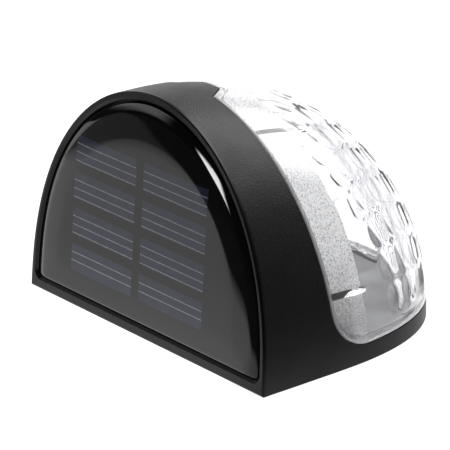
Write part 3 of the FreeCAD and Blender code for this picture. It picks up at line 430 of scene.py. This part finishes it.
outer = bm.verts[:]
wall = bmesh.ops.extrude_face_region(bm, geom=bm.faces[:], use_keep_orig=True)
inner = [item for item in wall["geom"] if isinstance(item, bmesh.types.BMVert)]
edge_drop = EDGE_ROUND - np.sqrt(
    np.clip(EDGE_ROUND**2 - np.clip(EDGE_ROUND - edge_mm, 0, EDGE_ROUND) ** 2, 0, None)
)
bowl_depth, lip = bowls(net)
outer_depth = bowl_depth + edge_drop
ribs = rib_height(net)
inner_depth = LENS_WALL + ribs + np.where(edge_mm < RIM_WIDTH, RIM_EXTRA, 0)
for skin, depth, is_inner in ((outer, outer_depth, 0.0), (inner, inner_depth, 1.0)):
    for vert in skin:
        key = vert[column_layer], vert[row_layer]
        vert.co = Vector(net[key] - normals[key] * depth[key])
        vert[inner_layer] = is_inner
        vert[rib_layer] = ribs[key]
        # only the outer skin carries the painted shade at the bowls' lips
        vert[lip_shade_layer] = lip[key] * (1 - is_inner)
bmesh.ops.remove_doubles(bm, verts=bm.verts[:], dist=WELD)
bmesh.ops.recalc_face_normals(bm, faces=bm.faces[:])
for layer in (column_layer, row_layer):
    bm.verts.layers.int.remove(layer)
shade_smooth(bm, LENS_CREASE)
print("lens:", len(bm.faces), "faces, volume", round(bm.calc_volume(), 1), "mm3")

# %% [markdown]
# ## Polished, frosted and bright faces
# Each face gets the number of its finish. The frosted ones are on the inner skin, behind the
# front edge and between the ribs, and the rim gets a finish of its own.

# %% Lens, kinds of faces
POLISHED, FROSTED, RIM = 0, 1, 2
FROSTED_TO = 13.2
BRIGHT_RIM = 1.0
ON_RIB = 0.05

for face in bm.faces:
    inside = all(vert[inner_layer] > 0.5 for vert in face.verts)
    line = sum(vert[line_layer] for vert in face.verts) / len(face.verts)
    on_rib = any(vert[rib_layer] > ON_RIB for vert in face.verts)
    frosted = inside and line < FROSTED_TO and not on_rib
    face.material_index = FROSTED if frosted else POLISHED
    if all(vert[edge_layer] < BRIGHT_RIM for vert in face.verts):
        face.material_index = RIM
print("frosted faces", sum(face.material_index == FROSTED for face in bm.faces))
lens = make_piece("lens_dimpled", bm)
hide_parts("clear_lens")

# %% [markdown]
# ## The resin over the cells
# The cells of a small panel are potted in resin, which stands up a little in the middle and
# rolls down to the edge. It is built from rings: the first two make the upright side wall,
# the next ones lie ever further in and a little higher, and bridge_loops spans each ring to
# the next. The roll is the same all round the arch and much narrower along the foot.

# %% Resin
PANEL_SIDE, PANEL_FOOT = 3.2, 4.12
PANEL_BACK = 2.0
PANEL_CORNER, CORNER_GROWTH, CORNER_STEPS = 0.7, 0.3, 6
ROLL_WIDTH, FOOT_ROLL = 3.2, 0.12
RING_STEPS = 96
# how far in from the edge, and how deep behind the rim of the light; above 0 is behind it
CROWN = [
    (0.0, PANEL_BACK),
    (0.0, 0.96),
    (0.05, 0.78),
    (0.15, 0.67),
    (0.3, 0.58),
    (0.6, 0.45),
    (1.0, 0.31),
    (1.5, 0.15),
    (2.0, -0.005),
    (2.4, -0.11),
    (2.9, -0.20),
    (3.6, -0.285),
    (4.5, -0.37),
    (5.5, -0.455),
    (7.0, -0.57),
    (8.5, -0.67),
    (9.5, -0.73),
    (10.5, -0.765),
    (13.0, -0.785),
    (18.0, -0.79),
]


def panel_ring(bm, inset, depth):
    """The edges of one upright ring of the half-round outline, with two rounded corners."""
    before = set(bm.edges)
    half = WIDTH / 2 - PANEL_SIDE - inset
    # at the foot the rings lie closer together, as far as the roll is wide
    foot = PANEL_FOOT + FOOT_ROLL * min(inset, ROLL_WIDTH) + max(0.0, inset - ROLL_WIDTH)
    height = HEIGHT / math.cos(LEAN) - PANEL_SIDE - inset - foot
    across, up = arch(np.linspace(0, math.pi, RING_STEPS + 1), half, height)
    ring = [bm.verts.new((x, depth, z)) for x, z in zip(across, foot + up)]
    for pair in zip(ring, ring[1:] + ring[:1]):
        bm.edges.new(pair)
    bmesh.ops.bevel(
        bm,
        geom=[ring[0], ring[-1]],
        offset=PANEL_CORNER + CORNER_GROWTH * inset,
        segments=CORNER_STEPS,
        profile=0.5,
        affect="VERTICES",
        material=-1,
    )
    return [edge for edge in bm.edges if edge not in before]


bm = bmesh.new()
rings = [panel_ring(bm, inset, depth) for inset, depth in CROWN]
print(len(rings), "rings of", len(rings[0]), "edges")
bmesh.ops.contextual_create(bm, geom=rings[0])
bmesh.ops.contextual_create(bm, geom=rings[-1])
for first, second in zip(rings, rings[1:]):
    bmesh.ops.bridge_loops(bm, edges=first + second)
bmesh.ops.recalc_face_normals(bm, faces=bm.faces[:])
print("resin:", len(bm.faces), "faces, volume", round(bm.calc_volume(), 1), "mm3")

# %% [markdown]
# ## Cells and silver lines in the resin
# What is seen through the resin is a tinted band for each cell and, on it, thin printed
# silver lines that collect the current. Clear resin over a black board looks like one black
# glossy body, so the crown itself is cut along the edges of the cells and of the lines, and
# the faces in between get their own finish. The edges stay sharp at any distance.

# %% Cells and silver lines
ON_BOARD, ON_CELL, ON_LINE = 0, 1, 2
CELL_WIDTH, CELL_GAP, CELL_SHIFT = 27.7, 3.4, -3.0
CELL_FOOT, CELL_PITCH, CELL_HEIGHT = 11.1, 10.75, 7.8
CELL_ROWS = 4
LINE_HEIGHTS = (0.25, 2.75, 5.25)
LINE_WIDTH = 0.28
FRONT_FACING = -0.5
RESIN_CREASE = 60

cell_sides = []
for column in (-1, 1):
    centre = CELL_SHIFT + column * (CELL_WIDTH + CELL_GAP) / 2
    cell_sides.append((centre - CELL_WIDTH / 2, centre + CELL_WIDTH / 2))
cell_feet = [CELL_FOOT + row * CELL_PITCH for row in range(CELL_ROWS)]
# the lowest cells carry only their upper two lines, as in the photo
line_feet = [foot + height for foot in cell_feet for height in LINE_HEIGHTS][1:]
cuts = [((1, 0, 0), x) for side in cell_sides for x in side]
cuts += [((0, 0, 1), foot + lift) for foot in cell_feet for lift in (0, CELL_HEIGHT)]
cuts += [((0, 0, 1), foot + lift) for foot in line_feet for lift in (0, LINE_WIDTH)]
for direction, offset in cuts:
    front = [face for face in bm.faces if face.normal.y < FRONT_FACING]
    corners = {vert for face in front for vert in face.verts}
    sides = {edge for face in front for edge in face.edges}
    point = Vector(direction) * offset
    geometry = [*front, *corners, *sides]
    bmesh.ops.bisect_plane(bm, geom=geometry, plane_co=point, plane_no=direction)
for face in bm.faces:
    middle = face.calc_center_median()
    in_column = any(low < middle.x < high for low, high in cell_sides)
    if face.normal.y > FRONT_FACING or not in_column:
        continue
    if any(foot < middle.z < foot + CELL_HEIGHT for foot in cell_feet):
        face.material_index = ON_CELL
    if any(foot < middle.z < foot + LINE_WIDTH for foot in line_feet):
        face.material_index = ON_LINE
shade_smooth(bm, RESIN_CREASE)
bmesh.ops.rotate(bm, verts=bm.verts[:], cent=(0, 0, 0), matrix=Matrix.Rotation(-LEAN, 3, "X"))
print("resin faces on cells", sum(face.material_index == ON_CELL for face in bm.faces))
resin = make_piece("panel_resin", bm)
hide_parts("solar_cover")

# %% [markdown]
# ## Helpers for the finishes
# Every finish starts from one Principled shader, whose even values are set on its sockets.
# Real plastic and metal are never quite even, so small helpers add what the eye expects: a
# mottled colour, a changing roughness and a grain. All read Object coordinates in metres, so
# a grain of a quarter millimetre is a quarter millimetre on every piece. The first three
# helpers work for anything that owns nodes, so the lights and the surroundings use them too.

# %% Helpers for the finishes
def add_node(owner, kind, **values):
    """Add a node, and set its sockets or its settings by their names."""
    node = owner.node_tree.nodes.new(kind)
    for name, value in values.items():
        socket = name.replace("_", " ").title()
        if socket in node.inputs:
            node.inputs[socket].default_value = value
        else:
            setattr(node, name, value)
    return node


def connect(owner, start, end):
    owner.node_tree.links.new(start, end)


def spread(owner, value, low, high, start=0.3, end=0.7):
    """Stretch a value between start and end, as that of a noise, to run from low to high."""
    node = add_node(owner, "ShaderNodeMapRange")
    for name, number in zip(("From Min", "From Max", "To Min", "To Max"), (start, end, low, high)):
        node.inputs[name].default_value = number
    connect(owner, value, node.inputs["Value"])
    return node.outputs["Result"]


def new_finish(name, colour, roughness, metallic=0.0, specular=0.5):
    finish = bpy.data.materials.new(name)
    finish.use_nodes = True
    shader = finish.node_tree.nodes["Principled BSDF"]
    shader.inputs["Base Color"].default_value = (*colour, 1)
    shader.inputs["Roughness"].default_value = roughness
    shader.inputs["Metallic"].default_value = metallic
    shader.inputs["Specular IOR Level"].default_value = specular
    return finish


def shader_of(finish):
    return finish.node_tree.nodes["Principled BSDF"]


def object_place(finish):
    return add_node(finish, "ShaderNodeTexCoord").outputs["Object"]


def noise(finish, size_mm, detail=3.0):
    node = add_node(finish, "ShaderNodeTexNoise", scale=1 / (size_mm * MM), detail=detail)
    connect(finish, object_place(finish), node.inputs["Vector"])
    return node.outputs["Fac"]


def mottle(finish, size_mm, dark, light, start=0.35, end=0.65):
    """A colour that wanders between two shades, in clouds of about this size."""
    ramp = add_node(finish, "ShaderNodeValToRGB")
    for stop, place, shade in zip(ramp.color_ramp.elements, (start, end), (dark, light)):
        stop.position = place
        stop.color = (*shade, 1)
    connect(finish, noise(finish, size_mm), ramp.inputs["Fac"])
    connect(finish, ramp.outputs["Color"], shader_of(finish).inputs["Base Color"])


def uneven_gloss(finish, size_mm, low, high):
    value = spread(finish, noise(finish, size_mm), low, high)
    connect(finish, value, shader_of(finish).inputs["Roughness"])


def grain(finish, size_mm, height_mm, strength=1.0, detail=2.0):
    """Fine bumps of this size and height."""
    bump = add_node(finish, "ShaderNodeBump", strength=strength, distance=height_mm * MM)
    connect(finish, noise(finish, size_mm, detail), bump.inputs["Height"])
    connect(finish, bump.outputs["Normal"], shader_of(finish).inputs["Normal"])


# %% [markdown]
# ## Black plastics
# The shell is moulded in a spark-eroded tool, which leaves a fine even grain and a matt face.
# The bezel came from a polished tool: it is smoother, with a soft gloss and a faint waviness
# where the plastic shrank. Both are nearly black, and what is seen of them is mostly light
# caught at a slant.

# %% Black plastics
shell_black = new_finish("shell_grained_black", (0.006, 0.006, 0.0063), 0.45, specular=0.3)
mottle(shell_black, 9, (0.0048, 0.0048, 0.005), (0.0072, 0.0072, 0.0076))
uneven_gloss(shell_black, 14, 0.4, 0.5)
grain(shell_black, 0.4, 0.11)

bezel_black = new_finish("bezel_satin_black", (0.008, 0.008, 0.0083), 0.3, specular=0.2)
mottle(bezel_black, 16, (0.0064, 0.0064, 0.0067), (0.0096, 0.0096, 0.01))
uneven_gloss(bezel_black, 11, 0.28, 0.36)
grain(bezel_black, 0.5, 0.006, strength=0.6)

base_black = new_finish("base_grained_black", (0.022, 0.022, 0.023), 0.5, specular=0.3)
mottle(base_black, 12, (0.017, 0.017, 0.018), (0.027, 0.027, 0.028))
uneven_gloss(base_black, 10, 0.46, 0.6)
grain(base_black, 0.35, 0.06, strength=0.8)

holder_black = new_finish("holder_plain_black", (0.03, 0.03, 0.031), 0.4, specular=0.4)
mottle(holder_black, 8, (0.024, 0.024, 0.025), (0.036, 0.036, 0.037))
uneven_gloss(holder_black, 6, 0.35, 0.5)

switch_black = new_finish("switch_nylon_black", (0.03, 0.03, 0.03), 0.35)
mottle(switch_black, 3, (0.025, 0.025, 0.025), (0.036, 0.036, 0.036))
uneven_gloss(switch_black, 4, 0.3, 0.45)

# %% [markdown]
# ## Rubber and foam
# The button and the seals are silicone rubber, which is matt and a little dusty. The foam
# tape behind the panel shows its cells as a coarse bump.

# %% Rubber and foam
button_rubber = new_finish("button_rubber_black", (0.03, 0.03, 0.03), 0.7, specular=0.3)
mottle(button_rubber, 2.5, (0.024, 0.024, 0.024), (0.04, 0.04, 0.04))
grain(button_rubber, 0.2, 0.03, strength=0.6)

foam_tape = new_finish("foam_tape_dark", (0.03, 0.03, 0.03), 0.9, specular=0.2)
mottle(foam_tape, 0.8, (0.018, 0.018, 0.018), (0.05, 0.05, 0.05))
grain(foam_tape, 0.6, 0.25)

seal_silicone = new_finish("seal_silicone_pale", (0.7, 0.7, 0.71), 0.45)
mottle(seal_silicone, 4, (0.62, 0.62, 0.63), (0.76, 0.76, 0.77))
uneven_gloss(seal_silicone, 3, 0.35, 0.55)

# %% [markdown]
# ## Panel
# The resin over the black board is a deep black mirror. Over a cell it shows dark slate with
# a hint of blue, and over the silver paste of a line a pale grey. All three have the gloss of
# the same resin, and only the colour below differs. The bare cells below have fine bands from
# the saw that cut them.

# %% Panel
resin_black = new_finish("resin_over_black", (0.003, 0.003, 0.0032), 0.015, specular=0.38)
mottle(resin_black, 20, (0.0024, 0.0024, 0.0026), (0.0036, 0.0036, 0.0038))

resin_slate = new_finish("resin_over_cell", (0.022, 0.026, 0.047), 0.015, specular=0.38)
mottle(resin_slate, 5, (0.019, 0.0225, 0.042), (0.025, 0.03, 0.053))

resin_silver = new_finish("resin_over_silver_line", (0.22, 0.23, 0.25), 0.015, specular=0.38)
mottle(resin_silver, 2, (0.18, 0.19, 0.21), (0.25, 0.26, 0.29))

for finish in (resin_black, resin_slate, resin_silver):
    uneven_gloss(finish, 18, 0.01, 0.025)

cell_slate = new_finish("cell_slate_blue", (0.03, 0.034, 0.05), 0.45, specular=0.3)
mottle(cell_slate, 5, (0.026, 0.03, 0.045), (0.034, 0.039, 0.058))
bands = add_node(cell_slate, "ShaderNodeTexWave", scale=900.0, distortion=1.5, detail=1.0)
bands.bands_direction = "Z"
connect(cell_slate, object_place(cell_slate), bands.inputs["Vector"])
gloss = spread(cell_slate, bands.outputs["Fac"], 0.38, 0.52, 0.0, 1.0)
connect(cell_slate, gloss, shader_of(cell_slate).inputs["Roughness"])

laminate_black = new_finish("laminate_black", (0.006, 0.006, 0.006), 0.5, specular=0.2)
mottle(laminate_black, 6, (0.004, 0.004, 0.004), (0.008, 0.008, 0.009))
uneven_gloss(laminate_black, 5, 0.45, 0.6)

# %% [markdown]
# ## Clear plastic of the lens
# The lens is one piece of clear plastic with three finishes. Most of it is polished, and
# round the lip of each bowl, where the plastic bends light most, its colour gets a lilac grey
# line of painted shade, darker on the side towards the front edge. Behind the front edge runs
# a band that the tool's maker stippled on the inner skin, so it scatters light and looks milky.
# The stipple grows thinner towards the foot. The thick rim gathers light and shines. Each group
# of faces has its own material, so each finish keeps its own even values on its shader.

# %% Lens plastic
PLASTIC_BENDING = 1.49
# how much light the stipple lets through, and the heights in metres between which it changes
STIPPLE_AT_FOOT, STIPPLE_ABOVE = 0.7, 0.03
STIPPLE_HEIGHTS = (0.01, 0.032)

lens_plastic = new_finish("lens_clear_plastic", (0.96, 0.962, 0.975), 0.015)
shader_of(lens_plastic).inputs["Transmission Weight"].default_value = 1.0
uneven_gloss(lens_plastic, 9, 0.01, 0.03)
# painted shade: along each bowl's lip the colour of the clear plastic turns lilac grey, standing in
# for light bent away there
lip_shade_amount = add_node(lens_plastic, "ShaderNodeAttribute", attribute_name="lip")
painted_lip_shade = add_node(lens_plastic, "ShaderNodeValToRGB")
painted_lip_shade.color_ramp.elements[0].color = (0.97, 0.97, 0.98, 1)
painted_lip_shade.color_ramp.elements[1].color = (0.42, 0.42, 0.5, 1)
connect(lens_plastic, lip_shade_amount.outputs["Fac"], painted_lip_shade.inputs["Fac"])
connect(lens_plastic, painted_lip_shade.outputs["Color"], shader_of(lens_plastic).inputs["Base Color"])

lens_stippled = new_finish("lens_stippled_plastic", (0.93, 0.93, 0.945), 0.4)
mottle(lens_stippled, 0.5, (0.45, 0.45, 0.47), (1.0, 1.0, 1.0), start=0.3, end=0.52)
place = add_node(lens_stippled, "ShaderNodeSeparateXYZ")
connect(lens_stippled, object_place(lens_stippled), place.inputs["Vector"])
clearness = spread(
    lens_stippled, place.outputs["Z"], STIPPLE_AT_FOOT, STIPPLE_ABOVE, *STIPPLE_HEIGHTS
)
connect(lens_stippled, clearness, shader_of(lens_stippled).inputs["Transmission Weight"])
grain(lens_stippled, 0.8, 0.35, detail=1.5)
uneven_gloss(lens_stippled, 2, 0.35, 0.5)

lens_rim = new_finish("lens_rim_plastic", (0.93, 0.93, 0.96), 0.15)
mottle(lens_rim, 6, (0.88, 0.88, 0.92), (0.96, 0.96, 0.98))
shader_of(lens_rim).inputs["Transmission Weight"].default_value = 0.4

for finish in (lens_plastic, lens_stippled, lens_rim):
    shader_of(finish).inputs["IOR"].default_value = PLASTIC_BENDING

# %% [markdown]
# ## Silver and steel
# The reflector is plastic with a thin vapour of aluminium on it: a satin mirror with faint
# clouds. Screws are zinc plated and spring parts nickel plated, both brighter and with a
# finer unevenness.

# %% Silver and steel
reflector_silver = new_finish("reflector_satin_silver", (0.26, 0.26, 0.27), 0.35, metallic=0.6)
mottle(reflector_silver, 12, (0.2, 0.2, 0.205), (0.3, 0.3, 0.31))
uneven_gloss(reflector_silver, 8, 0.3, 0.42)

screw_zinc = new_finish("screw_zinc_plate", (0.62, 0.62, 0.63), 0.3, metallic=1.0)
mottle(screw_zinc, 2, (0.55, 0.55, 0.56), (0.68, 0.68, 0.69))
uneven_gloss(screw_zinc, 0.7, 0.2, 0.4)

nickel_plate = new_finish("nickel_plate", (0.66, 0.64, 0.6), 0.25, metallic=1.0)
mottle(nickel_plate, 3, (0.6, 0.58, 0.54), (0.7, 0.68, 0.64))
uneven_gloss(nickel_plate, 1.0, 0.18, 0.34)

# %% [markdown]
# ## Boards, lamps and cell
# These are inside and mostly hidden, but each still gets its own finish: solder mask with a
# faint weave below it, dark epoxy and ferrite, shrink sleeves, and lamps whose phosphor is
# pale yellow.

# %% Boards, lamps and cell
def solder_mask(name, dark, light):
    finish = new_finish(name, light, 0.3)
    mottle(finish, 5, dark, light)
    weave = add_node(finish, "ShaderNodeTexBrick", scale=1 / (4 * MM))
    bump = add_node(finish, "ShaderNodeBump", strength=0.2, distance=0.01 * MM)
    connect(finish, object_place(finish), weave.inputs["Vector"])
    connect(finish, weave.outputs["Fac"], bump.inputs["Height"])
    connect(finish, bump.outputs["Normal"], shader_of(finish).inputs["Normal"])
    return finish


board_white = solder_mask("board_mask_white", (0.72, 0.72, 0.7), (0.84, 0.84, 0.82))
board_green = solder_mask("board_mask_green", (0.015, 0.12, 0.05), (0.03, 0.19, 0.08))

lamp_phosphor = new_finish("lamp_phosphor", (0.85, 0.8, 0.45), 0.25)
mottle(lamp_phosphor, 0.8, (0.8, 0.72, 0.36), (0.88, 0.84, 0.56))

chip_epoxy = new_finish("chip_epoxy", (0.03, 0.03, 0.03), 0.5)
mottle(chip_epoxy, 0.6, (0.024, 0.024, 0.025), (0.04, 0.04, 0.04))
grain(chip_epoxy, 0.15, 0.01)

coil_ferrite = new_finish("coil_ferrite", (0.08, 0.07, 0.06), 0.6)
mottle(coil_ferrite, 0.7, (0.05, 0.045, 0.04), (0.11, 0.1, 0.085))
grain(coil_ferrite, 0.3, 0.03)

capacitor_sleeve = new_finish("capacitor_sleeve", (0.03, 0.04, 0.1), 0.3)
mottle(capacitor_sleeve, 3, (0.02, 0.03, 0.08), (0.035, 0.05, 0.12))
uneven_gloss(capacitor_sleeve, 2, 0.2, 0.35)

cell_sleeve = new_finish("cell_sleeve_green", (0.04, 0.2, 0.09), 0.25)
mottle(cell_sleeve, 9, (0.03, 0.17, 0.075), (0.05, 0.24, 0.11))
uneven_gloss(cell_sleeve, 5, 0.18, 0.32)

lead_sleeve = new_finish("lead_sleeve_red", (0.4, 0.03, 0.025), 0.4)
mottle(lead_sleeve, 2, (0.34, 0.025, 0.02), (0.46, 0.04, 0.03))
uneven_gloss(lead_sleeve, 1.5, 0.3, 0.5)

# %% [markdown]
# ## Giving each piece its finish
# The record says which material slot each CAD piece has. One table takes each slot to its
# finish, so no piece is missed, and the two new pieces are given theirs one by one, in the order
# of the numbers on their faces.

# %% Finishes on the pieces
FINISHES = {
    "housing_black": shell_black,
    "bezel_black": bezel_black,
    "panel_cover": resin_black,
    "solar_cell": cell_slate,
    "panel_board": laminate_black,
    "foam": foam_tape,
    "lens_clear": lens_plastic,
    "seal_clear": seal_silicone,
    "reflector_silver": reflector_silver,
    "board_white": board_white,
    "lamp": lamp_phosphor,
    "board_green": board_green,
    "chip_black": chip_epoxy,
    "coil": coil_ferrite,
    "capacitor_sleeve": capacitor_sleeve,
    "cell_wrap": cell_sleeve,
    "holder_plastic": holder_black,
    "nickel": nickel_plate,
    "steel_screw": screw_zinc,
    "rubber_black": button_rubber,
    "base_black": base_black,
    "switch_black": switch_black,
    "lead_sleeve": lead_sleeve,
}
NEW_FINISHES = (
    (lens, {POLISHED: lens_plastic, FROSTED: lens_stippled, RIM: lens_rim}),
    (resin, {ON_BOARD: resin_black, ON_CELL: resin_slate, ON_LINE: resin_silver}),
)
for part in frame["record"]["subparts"]:
    node = frame["nodes"][part["node"]]
    for place in node.material_slots:
        place.material = FINISHES[part["material_slot"]]
for piece, finishes in NEW_FINISHES:
    for number in sorted(finishes):
        piece.data.materials.append(finishes[number])

# %% [markdown]
# ## Floor
# The photograph has an even white ground with no shadow to speak of, so the floor gives most
# of its light itself. What the light's own glossy faces mirror is a pool of light that ends
# to the front and to the right, as on a table with black cards beside it. Behind the light
# the floor is bright again. Each edge is a fade along one direction on the floor.

# %% Floor
FLOOR_SIDE = 4.0
FLOOR_DROP = 0.2 * MM
TO_THE_FRONT = (-0.58, -0.815, 0)
# direction, brightness on this side and on the far side, and where in metres it changes
POOL_EDGES = [
    (TO_THE_FRONT, 1.05, 0.18, 0.235, 0.31),
    ((1, 0, 0), 1.0, 0.12, 0.03, 0.08),
    ((0.545, -0.838, 0), 1.0, 0.02, 0.083, 0.095),
    (TO_THE_FRONT, 1.3, 1.0, 0.04, 0.12),
]
BEHIND_THE_LIGHT = ((-0.5, 0.87, 0), 0.0, 1.0, 0.045, 0.09)
LOOKED_AT, THROUGH_LENS = 1.02, 0.95

bm = bmesh.new()
bmesh.ops.create_grid(bm, x_segments=8, y_segments=8, size=FLOOR_SIDE / 2)
bmesh.ops.translate(bm, verts=bm.verts[:], vec=(0, 0, -FLOOR_DROP))
mesh = bpy.data.meshes.new("floor")
bm.to_mesh(mesh)
bm.free()
floor = bpy.data.objects.new("floor", mesh)
scene.collection.objects.link(floor)

floor_white = new_finish("floor_white", (0.06, 0.06, 0.06), 0.9, specular=0.0)
mottle(floor_white, 900, (0.058, 0.058, 0.058), (0.062, 0.062, 0.062))


def reach_along(owner, place, direction):
    """How far a place lies along a direction."""
    node = add_node(owner, "ShaderNodeVectorMath", operation="DOT_PRODUCT")
    node.inputs[1].default_value = direction
    connect(owner, place, node.inputs[0])
    return node.outputs["Value"]


def fall_off(direction, here, beyond, start, end):
    """Brightness of the floor that changes between two distances along a direction."""
    reach = reach_along(floor_white, object_place(floor_white), direction)
    return spread(floor_white, reach, here, beyond, start, end)


def combine(owner, operation, first, second):
    node = add_node(owner, "ShaderNodeMath", operation=operation)
    connect(owner, first, node.inputs[0])
    connect(owner, second, node.inputs[1])
    return node.outputs["Value"]


pool = fall_off(*POOL_EDGES[0])
for edge in POOL_EDGES[1:]:
    pool = combine(floor_white, "MULTIPLY", pool, fall_off(*edge))
pool = combine(floor_white, "MAXIMUM", pool, fall_off(*BEHIND_THE_LIGHT))
rays = add_node(floor_white, "ShaderNodeLightPath")
looked_at = spread(floor_white, rays.outputs["Is Camera Ray"], 0.0, LOOKED_AT, 0.0, 1.0)
through_lens = spread(
    floor_white, rays.outputs["Is Transmission Ray"], 0.0, THROUGH_LENS, 0.0, 1.0
)
glow = combine(floor_white, "MAXIMUM", looked_at, through_lens)
glow = combine(floor_white, "MAXIMUM", pool, glow)
connect(floor_white, glow, shader_of(floor_white).inputs["Emission Strength"])
shader_of(floor_white).inputs["Emission Color"].default_value = (1, 1, 1, 1)
floor.data.materials.append(floor_white)
print("floor", FLOOR_SIDE, "m wide,", len(POOL_EDGES), "edges of the pool of light")

# %% [markdown]
# ## Studio light
# One wide light overhead draws the soft grey over the top of the shell, and a small low one at
# the front left leaves the white streak along the rolled edge of the resin. A weak one on the
# left keeps the bezel from going flat, and a wide one stands behind. Each fades out at its
# border, so that no glossy face mirrors a hard edge.

# %% Studio light
BORDER = 0.24


def soften_border(light):
    """Let the light fade out towards its sides, as the cloth of a softbox does."""
    light.use_nodes = True
    sides = add_node(light, "ShaderNodeSeparateXYZ")
    place = add_node(light, "ShaderNodeNewGeometry").outputs["Parametric"]
    connect(light, place, sides.inputs["Vector"])
    strength = None
    for side in ("X", "Y"):
        for start, end in ((0, BORDER), (1, 1 - BORDER)):
            fading = spread(light, sides.outputs[side], 0.0, 1.0, start, end)
            fading.node.interpolation_type = "SMOOTHSTEP"
            if strength is None:
                strength = fading
            else:
                strength = combine(light, "MULTIPLY", strength, fading)
    connect(light, strength, light.node_tree.nodes["Emission"].inputs["Strength"])


def softbox(name, place_mm, aim_mm, size_mm, power, through_lens=False):
    """A rectangular light that the camera doesn't see, and the lens only if asked."""
    light = bpy.data.lights.new(name, "AREA")
    light.shape = "RECTANGLE"
    light.size, light.size_y = (side * MM for side in size_mm)
    light.energy = power
    lamp = bpy.data.objects.new(name, light)
    scene.collection.objects.link(lamp)
    place, aim = Vector(place_mm) * MM, Vector(aim_mm) * MM
    lamp.location = place
    lamp.rotation_euler = (aim - place).to_track_quat("-Z", "Y").to_euler()
    lamp.visible_camera = False
    lamp.visible_transmission = through_lens
    soften_border(light)
    return lamp


lamps = [
    softbox("overhead", (0, 520, 780), (0, 0, 30), (900, 900), 15, through_lens=True),
    softbox("streak", (-430, -930, 150), (0, -30, 45), (230, 200), 3.2),
    softbox("left_fill", (-800, -560, 430), (0, 0, 30), (600, 700), 2.0),
    softbox("backdrop", (-1300, 1050, 420), (0, 0, 0), (2400, 1300), 10),
]
print("lights in watts", {lamp.name: round(lamp.data.energy, 1) for lamp in lamps})

# %% [markdown]
# ## Surroundings
# Looked at, or seen through the lens, the surroundings are white. What glossy faces mirror of
# them is a bright wall behind the light and darkness elsewhere, as black cards round a glossy
# product make it.

# %% Surroundings
WALL_DIRECTION = (-0.2, 0.98, 0)
WALL_START, WALL_FULL = 0.6, 0.9
CARD_DARK, WALL_BRIGHT = 0.03, 0.8
WHITE_LOOKED_AT, WHITE_THROUGH_LENS = 1.1, 1.15

world = bpy.data.worlds.new("surroundings")
scene.world = world
world.use_nodes = True
rays = add_node(world, "ShaderNodeLightPath")


def except_for(kind, usual, own):
    """The usual strength, but a value of its own for one kind of ray."""
    node = add_node(world, "ShaderNodeMix")
    connect(world, rays.outputs[kind], node.inputs["Factor"])
    connect(world, usual, node.inputs["A"])
    node.inputs["B"].default_value = own
    return node.outputs["Result"]


direction = add_node(world, "ShaderNodeTexCoord").outputs["Generated"]
strength = reach_along(world, direction, WALL_DIRECTION)
strength = spread(world, strength, CARD_DARK, WALL_BRIGHT, WALL_START, WALL_FULL)
strength = except_for("Is Transmission Ray", strength, WHITE_THROUGH_LENS)
strength = except_for("Is Camera Ray", strength, WHITE_LOOKED_AT)
sky = world.node_tree.nodes["Background"]
sky.inputs["Color"].default_value = (1, 1, 1, 1)
connect(world, strength, sky.inputs["Strength"])
scene.view_settings.view_transform = "Standard"
print("surroundings made of", len(world.node_tree.nodes), "nodes")

bpy.context.view_layer.update()
